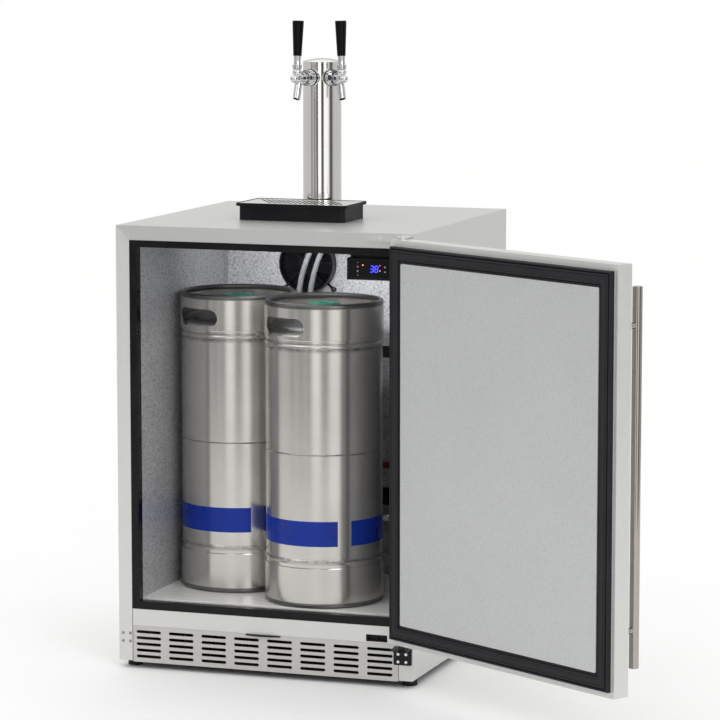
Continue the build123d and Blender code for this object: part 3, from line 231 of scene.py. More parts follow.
def keg_steel(name, rims=(), head_dark=0.0):
    """Keg steel: satin, faintly brushed round the barrel, dull at lines, with painted shade darkening the
    rolled rims and the domed head.
    """
    nodes = Nodes(name)
    nodes.set(Metallic=0.94)
    rings = nodes.noise(1.0, (10, 10, 700), detail=3.0, roughness=0.6)
    broad = nodes.noise(7.0, detail=3.0, roughness=0.55)
    height = nodes.axis("Z")
    marks = 0.0
    for level, half in KEG_LINES:
        away = nodes.math("ABSOLUTE", nodes.math("SUBTRACT", height, level), 0.0)
        marks = nodes.math("ADD", nodes.spread(away, 1.0, 0.0, 0.0, half), marks)
    uneven = nodes.spread(nodes.noise(90.0, (1, 1, 0.3)), 0.22, 0.60, 0.4, 0.7)
    marks_and_painted_shade = nodes.math("MULTIPLY", marks, uneven)
    for rim in rims:
        away = nodes.math("ABSOLUTE", nodes.math("SUBTRACT", height, rim), 0.0)
        # the rolled rims darkened: a painted reflection of the dark cabin above them
        marks_and_painted_shade = nodes.math("ADD", marks_and_painted_shade, nodes.spread(away, 0.60, 0.0, *RIM_FADE))
    # the domed head darkened above its edge: painted shade
    marks_and_painted_shade = nodes.math("ADD", marks_and_painted_shade, nodes.spread(height, 0.0, head_dark, *HEAD_EDGE))
    brushed_level = nodes.math("ADD", nodes.spread(rings, 0.72, 0.75), nodes.spread(broad, -0.05, 0.06))
    level = nodes.math("SUBTRACT", brushed_level, marks_and_painted_shade)
    nodes.drive("Base Color", nodes.tint(level, (0.05, 0.052, 0.058), (0.72, 0.695, 0.655)))
    rough = nodes.math("ADD", nodes.spread(rings, 0.225, 0.245), nodes.math("MULTIPLY", marks_and_painted_shade, 0.15))
    nodes.drive("Roughness", rough)
    nodes.bump(nodes.math("ADD", rings, nodes.math("MULTIPLY", broad, 2.0)), 0.004 * MM, 0.5)
    return nodes.material


def fan_plastic(name, plate_from):
    """Glossy black plastic, with no shine behind a depth, where the plate is in the guard's shade."""
    nodes = Nodes(name)
    fine = nodes.noise(1500.0, detail=2.0)
    front = nodes.spread(nodes.axis("Y"), 1.0, 0.0, plate_from - 2 * MM, plate_from)
    nodes.drive("Specular IOR Level", nodes.math("MULTIPLY", front, 0.35))
    broad = nodes.spread(nodes.noise(14.0), 0, 1)
    nodes.drive("Base Color", nodes.tint(broad, (0.004, 0.004, 0.005), (0.008, 0.008, 0.009)))
    nodes.drive("Roughness", nodes.spread(broad, 0.26, 0.36))
    nodes.bump(fine, 0.01 * MM, 0.5)
    return nodes.material


def screw_heads(name, bright_from):
    """Screw steel: dull on the left stile's heads, bright zinc past a distance along X."""
    nodes = Nodes(name)
    nodes.set(Metallic=0.9)
    grain = nodes.noise(500.0)
    shift = nodes.math("ADD", nodes.axis("X"), nodes.spread(grain, -2 * MM, 2 * MM))
    level = nodes.spread(shift, 0.0, 1.0, bright_from - 5 * MM, bright_from + 5 * MM)
    nodes.drive("Base Color", nodes.tint(level, (0.33, 0.325, 0.32), (0.95, 0.95, 0.96)))
    nodes.drive("Roughness", nodes.spread(grain, 0.20, 0.32))
    nodes.bump(grain, 0.01 * MM, 0.5)
    return nodes.material


def glowing(name, colour, strength):
    """A lit part of a display, a little uneven."""
    nodes = Nodes(name)
    nodes.set(Emission_Strength=strength, Roughness=0.3)
    level = nodes.spread(nodes.noise(300.0), 0, 1)
    nodes.drive("Emission Color", nodes.tint(level, shade(colour, 0.85), colour))
    nodes.drive("Base Color", nodes.tint(level, shade(colour, 0.3), shade(colour, 0.4)))
    return nodes.material


# stretches for brushed metal: lines along X, Y or Z, and even grains from coarse to fine
LINES_X = (3, 1200, 1200)
LINES_Y = (900, 3, 900)
LINES_Z = (900, 900, 3)
COARSE = (60, 60, 60)
FINE = (500, 500, 500)
FINEST = (900, 900, 900)
# where a look changes within a piece: along X on the screw heads, along Y on the fan
BRIGHT_SCREWS_FROM = 0.10
FAN_PLATE_FRONT = 0.188

cabinet_steel = brushed("cabinet_steel", (0.69, 0.687, 0.672), 0.42, LINES_X, grain=0.03,
                        metal=0.45, patches=0.01)
# door_steel and top_steel are the cabinet's own stainless given darker base colours as painted shade, where
# those faces took too much light
door_steel = brushed("door_steel", (0.66, 0.657, 0.642), 0.42, COARSE, grain=0.03,
                     metal=0.40, patches=0.01)
top_steel = brushed("top_steel", (0.645, 0.64, 0.63), 0.32, FINEST, grain=0.02, depth=0.006 * MM,
                    metal=0.50, patches=0.01)
# the floor tray's steel is paler and less metallic than the rest: painted light, making up for the little
# light that reaches it
tray_steel = brushed("tray_steel", (0.93, 0.92, 0.90), 0.30, LINES_X, metal=0.2)
galvanised = brushed("galvanised", (0.56, 0.57, 0.58), 0.48, COARSE, grain=0.08,
                     metal=0.6, patches=0.06)
column_steel = brushed("column_steel", (0.80, 0.785, 0.755), 0.11, LINES_Z, grain=0.02, depth=0.004 * MM)
handle_steel = brushed("handle_steel", (0.40, 0.37, 0.34), 0.11, LINES_Z, grain=0.03, depth=0.006 * MM)
grid_steel = brushed("grid_steel", (0.85, 0.84, 0.82), 0.22, LINES_Y, depth=0.01 * MM, metal=0.8)
chrome = brushed("chrome", (0.66, 0.665, 0.675), 0.09, (40, 40, 40), grain=0.01, depth=0.002 * MM)
bracket_steel = brushed("bracket_steel", (0.74, 0.735, 0.72), 0.28, LINES_X, metal=0.6)
screw_steel = brushed("screw_steel", (0.36, 0.355, 0.35), 0.20, FINE, depth=0.01 * MM)
head_steel = screw_heads("head_steel", BRIGHT_SCREWS_FROM)
zinc = brushed("zinc", (0.90, 0.90, 0.92), 0.24, FINE, depth=0.01 * MM)
# grille_steel is the cabinet's stainless made darker: painted shade, standing in for the shade through its
# slots
grille_steel = brushed("grille_steel", (0.57, 0.555, 0.535), 0.40, LINES_X, grain=0.03,
                       metal=0.5, patches=0.01)
dark_pan = brushed("dark_pan", (0.030, 0.030, 0.032), 0.50, COARSE, grain=0.06,
                   metal=0.2, patches=0.06)
coil_metal = brushed("coil_metal", (0.10, 0.10, 0.105), 0.45, (200, 200, 200))
copper = brushed("copper_tube", (0.72, 0.40, 0.26), 0.30, COARSE, patches=0.08)
# the embossed sheets' darker colours fill the hollows between pebbles as painted shade
wall_sheet = embossed("wall_sheet", (0.31, 0.315, 0.33), (0.69, 0.695, 0.715), 0.34, 1.2 * MM, 3.4 * MM)
door_sheet = embossed("door_sheet", (0.49, 0.495, 0.50), (0.60, 0.605, 0.61), 0.42, 0.14 * MM, 2.0 * MM)
black_gloss = moulded("black_gloss", (0.003, 0.003, 0.004), (0.006, 0.005, 0.005), 0.20,
                      depth=0.01 * MM, shine=0.22)
handle_gloss = moulded("handle_gloss", (0.002, 0.002, 0.002), (0.004, 0.003, 0.003), 0.08,
                       depth=0.002 * MM, shine=0.14)
black_plastic = moulded("black_plastic", (0.007, 0.007, 0.009), (0.012, 0.012, 0.014), 0.42, shine=0.15)
black_rubber = moulded("black_rubber", (0.012, 0.012, 0.014), (0.019, 0.019, 0.022), 0.50,
                       depth=0.03 * MM, shine=0.22)
black_paint = moulded("black_paint", (0.006, 0.006, 0.007), (0.012, 0.011, 0.011), 0.36, shine=0.25)
strip_black = moulded("strip_black", (0.004, 0.004, 0.005), (0.008, 0.007, 0.007), 0.28,
                      depth=0.01 * MM, shine=0.20)
foam_skin = moulded("foam_skin", (0.66, 0.58, 0.36), (0.80, 0.72, 0.48), 0.80,
                    grain=1.5 * MM, depth=0.4 * MM)
green_plastic = moulded("green_plastic", (0.004, 0.055, 0.036), (0.010, 0.10, 0.068), 0.38)
blue_print = moulded("blue_print", (0.004, 0.022, 0.25), (0.006, 0.034, 0.34), 0.30,
                     depth=0.008 * MM, shine=0.22)
hose_vinyl = moulded("hose_vinyl", (0.115, 0.12, 0.13), (0.15, 0.155, 0.165), 0.24, grain=3 * MM, shine=0.7)
mark_white = moulded("mark_white", (0.55, 0.56, 0.58), (0.68, 0.69, 0.71), 0.40)
mark_black = moulded("mark_black", (0.012, 0.012, 0.013), (0.022, 0.021, 0.021), 0.45)
mark_red = moulded("mark_red", (0.16, 0.006, 0.008), (0.24, 0.012, 0.014), 0.45)
digit_blue = glowing("digit_blue", (0.05, 0.06, 1.0), 3.0)
lamp_orange = glowing("lamp_orange", (1.0, 0.25, 0.02), 2.0)
lamp_red = glowing("lamp_red", (1.0, 0.03, 0.03), 2.0)
keg_shell = keg_steel("keg_shell", head_dark=0.5)
keg_ring = keg_steel("keg_ring", RIM_HEIGHTS)
fan_black = fan_plastic("fan_black", FAN_PLATE_FRONT)

NODE_LOOKS = {
    "side_panels": cabinet_steel, "front_rail": cabinet_steel, "vent_grille": grille_steel,
    "door_shell": door_steel, "top_panel": top_steel, "floor_tray": tray_steel, "drip_grid": grid_steel,
    "back_panel": galvanised, "base_pan": dark_pan, "liner": wall_sheet, "door_liner": door_sheet,
    "tower_column": column_steel, "tower_cap": column_steel, "door_handle": handle_steel,
    "hinge_bracket_top": bracket_steel, "hinge_bracket_bottom": black_paint, "cabinet_screws": head_steel,
    "faucet_shanks": chrome, "faucet_bodies": chrome, "tap_lever_left": chrome, "tap_lever_right": chrome,
    "beer_nut_left": chrome, "beer_nut_right": chrome, "breaker_strip": strip_black,
    "tap_handle_left": handle_gloss, "tap_handle_right": handle_gloss, "controller_display": black_gloss,
    "drip_tray": black_plastic, "controller_housing": black_plastic, "controller_button_up": black_plastic,
    "controller_button_down": black_plastic, "controller_button_light": black_plastic,
    "controller_button_set": black_plastic, "fan_guard": fan_black, "fan_blades": fan_black,
    "door_switch": black_plastic, "grille_latch": black_plastic, "power_inlet": black_plastic,
    "condenser_fan_frame": black_plastic, "condenser_fan_blades": black_plastic,
    "gas_line_bushing": black_plastic, "door_bushes": zinc, "foot_front_left": black_rubber,
    "foot_front_right": black_rubber, "foot_back_left": black_rubber, "foot_back_right": black_rubber,
    "compressor": black_paint, "condenser_coil": coil_metal, "refrigerant_tubing": copper,
    "foam_insulation": foam_skin, "door_foam": foam_skin, "keg_left_cap": green_plastic,
    "keg_right_cap": green_plastic, "keg_left_barrel": keg_shell, "keg_left_rings": keg_ring,
    "keg_right_barrel": keg_shell, "keg_right_rings": keg_ring,
    "door_gasket": black_rubber, "beer_line_left": hose_vinyl, "beer_line_right": hose_vinyl,
}
for node, look in NODE_LOOKS.items():
    mesh = frame["nodes"][node].data
    mesh.materials.clear()
    mesh.materials.append(look)


# ---------------------------------------------------------------- mesh helpers
def piece(name, shape, look, body, smooth_deg=35.0):
    """A finished bmesh as an object with its material, riding on a body."""
    bmesh.ops.recalc_face_normals(shape, faces=shape.faces)
    mesh = bpy.data.meshes.new(name)
    shape.to_mesh(mesh)
    shape.free()
    mesh.materials.append(look)
    item = bpy.data.objects.new(name, mesh)
    bpy.context.scene.collection.objects.link(item)
    mesh.shade_smooth()
    mesh.set_sharp_from_angle(angle=math.radians(smooth_deg))
    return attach(item, body)


def lathe(shape, centre, axis, profile, steps=48):
    """Turns a profile of (radius, height) points about an axis; a radius of 0 closes an end."""
    up = Vector(axis).normalized()
    first = up.orthogonal().normalized()
    second = up.cross(first)
    rows = []
    for radius, height in profile:
        if radius < 1e-9:
            rows.append([shape.verts.new(Vector(centre) + up * height)])
            continue
        ring = []
        for step in range(steps):
            turn = 2 * math.pi * step / steps
            out = first * math.cos(turn) + second * math.sin(turn)
            ring.append(shape.verts.new(Vector(centre) + up * height + out * radius))
        rows.append(ring)
    for low, high in zip(rows, rows[1:]):
        for step in range(steps):
            after = (step + 1) % steps
            # an end that is a single point gives triangles
            below = [low[step % len(low)], low[after % len(low)]]
            above = [high[after % len(high)], high[step % len(high)]]
            unique = list(dict.fromkeys(below + above))
            if len(unique) > 2:
                shape.faces.new(unique)


def flat_solid(shape, outline, origin, right, up, thickness):
    """A flat outline of (across, up) points made solid towards its own front."""
    right, up = Vector(right), Vector(up)
    front = right.cross(up)
    lower = [shape.verts.new(Vector(origin) + right * a + up * b) for a, b in outline]
    upper = [shape.verts.new(vert.co + front * thickness) for vert in lower]
    shape.faces.new(lower)
    shape.faces.new(upper)
    count = len(outline)
    for index in range(count):
        after = (index + 1) % count
        shape.faces.new((lower[index], lower[after], upper[after], upper[index]))


def round_outline(radius, steps=20):
    """A circle of (across, up) points."""
    turns = [2 * math.pi * step / steps for step in range(steps)]
    return [(radius * math.cos(turn), radius * math.sin(turn)) for turn in turns]


def rounded_rectangle(width, height, radius, steps=5):
    """A rectangle of (across, up) points with round corners."""
    points = []
    for corner, (sx, sy) in enumerate(((1, 1), (-1, 1), (-1, -1), (1, -1))):
        middle = (sx * (width / 2 - radius), sy * (height / 2 - radius))
        for step in range(steps + 1):
            turn = math.pi / 2 * (corner + step / steps)
            points.append((middle[0] + radius * math.cos(turn), middle[1] + radius * math.sin(turn)))
    return points


def floor_middle(node):
    """The point on the floor under the middle of a node's box."""
    low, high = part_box(node)
    return Vector(((low.x + high.x) / 2, (low.y + high.y) / 2, 0))


# ---------------------------------------------------------------- beer lines
HOSE_DIAMETER = 0.011
HOSE_REACH = 0.018
HOSE_TOP = 1.120
tower = floor_middle("tower_column")


def tap_direction(side):
    """The level direction from the tower's axis to one tap."""
    pivot = Vector(joints[f"tap_{side}_pull"]["pos_m"])
    out = pivot - tower
    out.z = 0
    return out.normalized()


HOSE_ROUTES = {
    "left": [
        (-0.013, 0.041, 0.962), (-0.016, 0.047, 0.875), (-0.021, 0.050, 0.818), (-0.045, 0.054, 0.768),
        (-0.062, 0.066, 0.712), (-0.069, 0.082, 0.655), (-0.071, 0.097, 0.585), (-0.075, 0.109, 0.508),
        (-0.082, 0.117, 0.432), (-0.093, 0.127, 0.360), (-0.112, 0.138, 0.298), (-0.142, 0.146, 0.257),
        (-0.180, 0.148, 0.239), (-0.216, 0.144, 0.2418),
    ],
    "right": [
        (0.007, 0.045, 0.960), (0.006, 0.050, 0.873), (0.001, 0.053, 0.817), (-0.022, 0.057, 0.767),
        (-0.039, 0.069, 0.712), (-0.046, 0.086, 0.655), (-0.047, 0.102, 0.585), (-0.044, 0.115, 0.508),
        (-0.038, 0.123, 0.432), (-0.027, 0.131, 0.360), (-0.008, 0.141, 0.298), (0.022, 0.148, 0.257),
        (0.060, 0.149, 0.239), (0.096, 0.145, 0.2418),
    ],
}
# how far straight down each hose hangs from its elbow before its route begins to turn
SECOND_HEIGHT = {"left": 1.052, "right": 1.050}
for side, lower_points in HOSE_ROUTES.items():
    start = tower + tap_direction(side) * HOSE_REACH
    points = [(start.x, start.y, HOSE_TOP), (start.x, start.y, SECOND_HEIGHT[side])] + lower_points
    curve = bpy.data.curves.new(f"beer_hose_{side}", "CURVE")
    curve.dimensions = "3D"
    curve.bevel_depth = HOSE_DIAMETER / 2
    curve.bevel_resolution = 6
    curve.resolution_u = 10
    curve.use_fill_caps = True
    spline = curve.splines.new("NURBS")
    spline.points.add(len(points) - 1)
    for point, place in zip(spline.points, points):
        point.co = (*place, 1)
    spline.order_u = 3
    spline.use_endpoint_u = True
    curve.materials.append(hose_vinyl)
    hose = bpy.data.objects.new(f"beer_hose_{side}", curve)
    bpy.context.scene.collection.objects.link(hose)
    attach(hose, "cabinet")
    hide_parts(f"beer_line_{side}")


# ---------------------------------------------------------------- the door's own directions
hinge = joints["door_hinge"]
door_turn = math.radians(180 - hinge["range_deg"][0])
door_along = Vector((math.cos(door_turn), math.sin(door_turn), 0))
door_inward = Vector((math.sin(door_turn), -math.cos(door_turn), 0))
door_pivot = Vector((hinge["pos_m"][0], hinge["pos_m"][1], 0))
door_low, door_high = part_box("door_shell")
DOOR_EDGES = (-12.0 * MM, 597.0 * MM)
GASKET_SIDE_INSET = 7.7 * MM
GASKET_END_INSET = 11.4 * MM


def on_door(along, height, depth):
    """A point on the door, by its place along the door, its height, and its depth towards the inside."""
    return door_pivot + door_along * along + door_inward * depth + UP * height


def door_frame(shape, profile):
    """Sweeps a closed profile of (inset, depth) points round the gasket's outline with mitred corners."""
    rings = []
    for inset, depth in profile:
        left, right = DOOR_EDGES[0] + GASKET_SIDE_INSET + inset, DOOR_EDGES[1] - GASKET_SIDE_INSET - inset
        low, high = door_low.z + GASKET_END_INSET + inset, door_high.z - GASKET_END_INSET - inset
        corners = ((left, low), (right, low), (right, high), (left, high))
        rings.append([shape.verts.new(on_door(a, z, depth)) for a, z in corners])
    for here, after in zip(rings, rings[1:] + rings[:1]):
        for corner in range(4):
            turn = (corner + 1) % 4
            shape.faces.new((here[corner], here[turn], after[turn], after[corner]))


# the gasket's section as (inset, depth) in millimetres: a foot, a small outer bead, a bellows fold,
# and the broad magnet band with grooves
GASKET_OUTLINE = [
    (0.1, 19.9), (0.1, 26.5), (0.6, 28.6), (1.8, 29.6), (3.4, 29.4), (4.4, 28.2), (4.9, 25.0),
    (5.6, 25.0), (6.0, 28.0), (6.4, 29.6), (7.4, 30.3), (9.4, 30.4), (10.0, 29.5), (10.6, 29.5),
    (11.2, 30.4), (20.0, 30.4), (20.6, 29.7), (21.2, 29.7), (21.8, 30.3), (23.6, 30.0), (24.6, 28.8),
    (25.0, 26.4), (25.8, 25.9), (26.6, 26.4), (27.0, 27.4), (28.6, 27.8), (29.6, 27.0), (29.9, 25.6),
    (29.9, 19.9),
]
shape = bmesh.new()
door_frame(shape, [(inset * MM, depth * MM) for inset, depth in GASKET_OUTLINE])
gasket = piece("gasket_profile", shape, black_rubber, "door", 28)
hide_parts("door_gasket")

# ---------------------------------------------------------------- printed bands on the kegs
BAND_HEIGHTS = (0.258, 0.307)
# the bare stretch between a band's ends, by the angle about the keg's axis
BAND_GAP_DEG = (-57.0, -43.0)
BARREL_RADIUS = 0.1140
BAND_LIFT = 0.12 * MM
KEG_STEPS = 160
# a cap's raised centre as (radius, height) in millimetres, and the pull tab beside it
CAP_CENTRE = [(0, 0.2), (9.0, 0.2), (9.6, 0.9), (10.6, 1.1), (11.4, 0.8), (11.8, 0.1), (0, 0.1)]
CAP_RECESS = 1.2 * MM
TAB_OUTLINE = rounded_rectangle(16 * MM, 7 * MM, 3 * MM)
TAB_SHIFT = Vector((0.017, 0.002, 0.1 * MM))
TAB_THICKNESS = 1.0 * MM


def keg_band(shape, centre, heights, turns, radius, thickness):
    """A thin curved patch round a keg, closed on every side."""
    steps = max(4, int(abs(turns[1] - turns[0]) / 360 * KEG_STEPS))
    columns = []
    for step in range(steps + 1):
        turn = math.radians(turns[0] + (turns[1] - turns[0]) * step / steps)
        out = Vector((math.cos(turn), math.sin(turn), 0))
        columns.append([
            shape.verts.new(centre + out * reach + UP * height)
            for reach, height in (
                (radius, heights[0]), (radius + thickness, heights[0]),
                (radius + thickness, heights[1]), (radius, heights[1]),
            )
        ])
    for here, after in zip(columns, columns[1:]):
        for corner in range(4):
            turn = (corner + 1) % 4
            shape.faces.new((here[corner], here[turn], after[turn], after[corner]))
    shape.faces.new(columns[0])
    shape.faces.new(columns[-1])


for side in ("left", "right"):
    shape = bmesh.new()
    turns = (BAND_GAP_DEG[1], BAND_GAP_DEG[0] + 360)
    keg_band(shape, floor_middle(f"keg_{side}_rings"), BAND_HEIGHTS, turns, BARREL_RADIUS, BAND_LIFT)
    piece(f"keg_{side}_band", shape, blue_print, f"keg_{side}")

    # the cap over the valve: a raised centre and a pull tab
    cap_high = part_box(f"keg_{side}_cap")[1]
    centre = floor_middle(f"keg_{side}_cap") + UP * (cap_high.z - CAP_RECESS)
    shape = bmesh.new()
    lathe(shape, centre, UP, [(radius * MM, height * MM) for radius, height in CAP_CENTRE])
    flat_solid(shape, TAB_OUTLINE, centre + TAB_SHIFT, ALONG_X, (0, 1, 0), TAB_THICKNESS)
    piece(f"keg_{side}_cap_tab", shape, green_plastic, f"keg_{side}")

# ---------------------------------------------------------------- controller display
DISPLAY_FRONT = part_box("controller_display")[0].y
SEGMENTS = {"3": "abcdg", "8": "abcdefg"}
DIGIT_WIDTH = 6.0 * MM
DIGIT_HEIGHT = 11.8 * MM
SEGMENT = 1.5 * MM
SEGMENT_GAP = 0.5 * MM
SEGMENT_THICKNESS = 0.25 * MM
DIGIT_LEAN = 0.10
DIGIT_SHIFT = 4.6 * MM
DIGITS_X, DIGITS_Z = 0.2115, 0.7985


def segment_outline(centre, length, level):
    """A seven-segment bar: a long hexagon, level or upright."""
    tip, half = length / 2, SEGMENT / 2
    shoulder = tip - half
    bar = [(-tip, 0), (-shoulder, half), (shoulder, half), (tip, 0), (shoulder, -half), (-shoulder, -half)]
    if not level:
        bar = [(b, a) for a, b in bar]
    moved = [(a + centre[0], b + centre[1]) for a, b in bar]
    return [(a + b * DIGIT_LEAN, b) for a, b in moved]


half_w, half_h = DIGIT_WIDTH / 2, DIGIT_HEIGHT / 2
BARS = {
    "a": ((0, half_h), True), "b": ((half_w, half_h / 2), False), "c": ((half_w, -half_h / 2), False),
    "d": ((0, -half_h), True), "e": ((-half_w, -half_h / 2), False), "f": ((-half_w, half_h / 2), False),
    "g": ((0, 0), True),
}
shape = bmesh.new()
for digit, shift in (("3", -DIGIT_SHIFT), ("8", DIGIT_SHIFT)):
    for bar in SEGMENTS[digit]:
        centre, level = BARS[bar]
        outline = segment_outline(centre, DIGIT_WIDTH - SEGMENT_GAP, level)
        origin = (DIGITS_X + shift, DISPLAY_FRONT, DIGITS_Z)
        flat_solid(shape, outline, origin, ALONG_X, UP, SEGMENT_THICKNESS)
piece("display_digits", shape, digit_blue, "cabinet")


# each lamp's place across and up, its radius and its look
DISPLAY_LAMPS = {
    "compressor": (0.1890, 0.8055, 1.5 * MM, lamp_orange),
    "light": (0.2232, 0.8052, 1.3 * MM, lamp_red),
    "set": (0.2232, 0.7952, 1.2 * MM, lamp_orange),
}
for name, (across, height, radius, look) in DISPLAY_LAMPS.items():
    shape = bmesh.new()
    dome = [(0, 0), (radius, 0), (radius, 0.15 * MM), (radius * 0.7, 0.35 * MM), (0, 0.4 * MM)]
    lathe(shape, (across, DISPLAY_FRONT, height), (0, -1, 0), dome, steps=20)
    piece(f"lamp_{name}", shape, look, "cabinet")


def triangle(size, way):
    """An arrowhead that points up for a way of 1 and down for -1."""
    base = -way * size * 0.7
    return [(-size, base), (size, base), (0, way * size * 0.8)]


ARROW_SIZE = 1.9 * MM
MARK_THICKNESS = 0.12 * MM
BUTTON_MARKS = {
    "up": triangle(ARROW_SIZE, 1),
    "down": triangle(ARROW_SIZE, -1),
    "light": round_outline(1.8 * MM),
    "set": rounded_rectangle(4.0 * MM, 1.5 * MM, 0.6 * MM),
}
# the marks on the two right-hand buttons stand a little left of the buttons' middles
RIGHT_BUTTONS_FROM = 0.2
RIGHT_MARK_SHIFT = 1.4 * MM
for name, outline in BUTTON_MARKS.items():
    low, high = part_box(f"controller_button_{name}")
    shift = RIGHT_MARK_SHIFT if low.x > RIGHT_BUTTONS_FROM else 0
    origin = ((low.x + high.x) / 2 - shift, low.y, (low.z + high.z) / 2)
    shape = bmesh.new()
    flat_solid(shape, outline, origin, ALONG_X, UP, MARK_THICKNESS)
    piece(f"button_mark_{name}", shape, mark_white, f"button_{name}")

DOTS_AT = ((0.179, 0.8100), (0.179, 0.7862), (0.243, 0.7935), (0.246, 0.8020))
DOT_OUTLINE = round_outline(0.8 * MM, steps=12)
DOT_THICKNESS = 0.15 * MM
shape = bmesh.new()
for across, height in DOTS_AT:
    flat_solid(shape, DOT_OUTLINE, (across, DISPLAY_FRONT, height), ALONG_X, UP, DOT_THICKNESS)
piece("display_dots", shape, mark_white, "cabinet")


# ---------------------------------------------------------------- screws
def screw(shape, centre, out, radius, height):
    """A low domed head with a round recess in its middle."""
    lathe(shape, centre, out, [
        (0, 0), (radius, 0), (radius, height * 0.35), (radius * 0.9, height * 0.7),
        (radius * 0.6, height * 0.97), (radius * 0.52, height * 0.97), (radius * 0.42, height * 0.3),
        (0, height * 0.25),
    ], steps=28)


LINER_BACK = 190.0 * MM
FAN_FLANGE = 4.0 * MM
FAN_SCREWS_AT = 52.5 * MM * math.sqrt(2)
FAN_SCREW_RADIUS = 4.6 * MM
FAN_SCREW_HEIGHT = 2.6 * MM
fan = Vector(joints["cabin_fan_spin"]["pos_m"])
shape = bmesh.new()
for turn in (45, 135, 225, 315):
    spoke = Vector((math.cos(math.radians(turn)), 0, math.sin(math.radians(turn))))
    centre = Vector((fan.x, LINER_BACK - FAN_FLANGE, fan.z)) + spoke * FAN_SCREWS_AT
    screw(shape, centre, (0, -1, 0), FAN_SCREW_RADIUS, FAN_SCREW_HEIGHT)
piece("fan_screws", shape, screw_steel, "cabinet")

# ---------------------------------------------------------------- back of the cabinet
BACK_INSET = 9.0 * MM
BACK_COLUMNS = 5
BACK_ROWS = 6
BACK_SCREW_RADIUS = 3.6 * MM
BACK_SCREW_HEIGHT = 1.8 * MM
back_low, back_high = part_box("back_panel")
screws_wide = back_high.x - back_low.x - 2 * BACK_INSET
screws_high = back_high.z - back_low.z - 2 * BACK_INSET
shape = bmesh.new()
for column in range(BACK_COLUMNS):
    for row in range(BACK_ROWS):
        if 0 < column < BACK_COLUMNS - 1 and 0 < row < BACK_ROWS - 1:
            continue
        across = back_low.x + BACK_INSET + screws_wide * column / (BACK_COLUMNS - 1)
        height = back_low.z + BACK_INSET + screws_high * row / (BACK_ROWS - 1)
        screw(shape, (across, back_high.y, height), (0, 1, 0), BACK_SCREW_RADIUS, BACK_SCREW_HEIGHT)
piece("back_screws", shape, screw_steel, "cabinet")

# ---------------------------------------------------------------- blank plates on the back wall
PLATE_THICKNESS = 0.4 * MM
PLATE_CORNER = 2 * MM
# each plate's look, its two sides and its two ends
WALL_PLATES = {
    "top": (mark_black, (0.064, 0.096), (0.5690, 0.5930)),
    "middle": (mark_red, (0.070, 0.096), (0.3405, 0.3537)),
    "low": (mark_black, (0.064, 0.096), (0.2643, 0.3008)),
}
for name, (look, sides, ends) in WALL_PLATES.items():
    shape = bmesh.new()
    outline = rounded_rectangle(sides[1] - sides[0], ends[1] - ends[0], PLATE_CORNER)
    origin = ((sides[0] + sides[1]) / 2, LINER_BACK, (ends[0] + ends[1]) / 2)
    flat_solid(shape, outline, origin, ALONG_X, UP, PLATE_THICKNESS)
    piece(f"wall_plate_{name}", shape, look, "cabinet")

# ---------------------------------------------------------------- drip grid screws
# how far across the grid each screw stands, as a share of its width
STUD_PLACES = {"left": 0.16, "right": 0.84}
# a screw's flat head as (radius, height) in millimetres
STUD_PROFILE = [(0, 0), (4.2, 0), (4.2, 0.35), (3.4, 0.5), (0, 0.45)]
STUD_SUNK = 0.3 * MM
grid_low, grid_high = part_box("drip_grid")
for side, share in STUD_PLACES.items():
    across = grid_low.x + (grid_high.x - grid_low.x) * share
    depth = grid_low.y + (grid_high.y - grid_low.y) * 0.5
    shape = bmesh.new()
    profile = [(radius * MM, height * MM) for radius, height in STUD_PROFILE]
    lathe(shape, (across, depth, grid_high.z - STUD_SUNK), UP, profile, steps=24)
    piece(f"grid_stud_{side}", shape, mark_black, "grid")

# ---------------------------------------------------------------- floor, world and lights
FLOOR_RADIUS = 3.2
floor_mesh = bmesh.new()
bmesh.ops.create_circle(floor_mesh, cap_ends=True, radius=FLOOR_RADIUS, segments=96)
mesh = bpy.data.meshes.new("studio_floor")
floor_mesh.to_mesh(mesh)
floor_mesh.free()
floor_nodes = Nodes("studio_floor")
floor_nodes.set(Roughness=0.7)
pale = floor_nodes.spread(floor_nodes.noise(2.0), 0, 1)
floor_nodes.drive("Base Color", floor_nodes.tint(pale, (0.95, 0.95, 0.95), (0.97, 0.97, 0.97)))
mesh.materials.append(floor_nodes.material)
floor = bpy.data.objects.new("studio_floor", mesh)
bpy.context.scene.collection.objects.link(floor)

world = bpy.data.worlds.new("studio")
world.use_nodes = True
bpy.context.scene.world = world
tree = world.node_tree
tree.nodes.clear()


def world_node(kind, **settings):
    node = tree.nodes.new(kind)
    for key, value in settings.items():
        setattr(node, key, value)
    return node


def world_inputs(sockets, values):
    """Gives sockets their numbers or links."""
    for socket, value in zip(sockets, values):
        if isinstance(value, (int, float)):
            socket.default_value = value
        else:
            tree.links.new(value, socket)


def world_math(operation, first, second):
    node = world_node("ShaderNodeMath", operation=operation)
    world_inputs(node.inputs, (first, second))
    return node.outputs["Value"]


def world_range(value, start, end, low, high, curve="LINEAR"):
    """A value turned from one range into another."""
    node = world_node("ShaderNodeMapRange", interpolation_type=curve)
    names = ("Value", "From Min", "From Max", "To Min", "To Max")
    world_inputs([node.inputs[name] for name in names], (value, start, end, low, high))
    return node.outputs["Result"]


def world_mix(factor, first, second):
    """The first value, the second, or a blend, by a factor from 0 to 1."""
    node = world_node("ShaderNodeMix", data_type="FLOAT")
    world_inputs([node.inputs[name] for name in ("Factor", "A", "B")], (factor, first, second))
    return node.outputs["Result"]


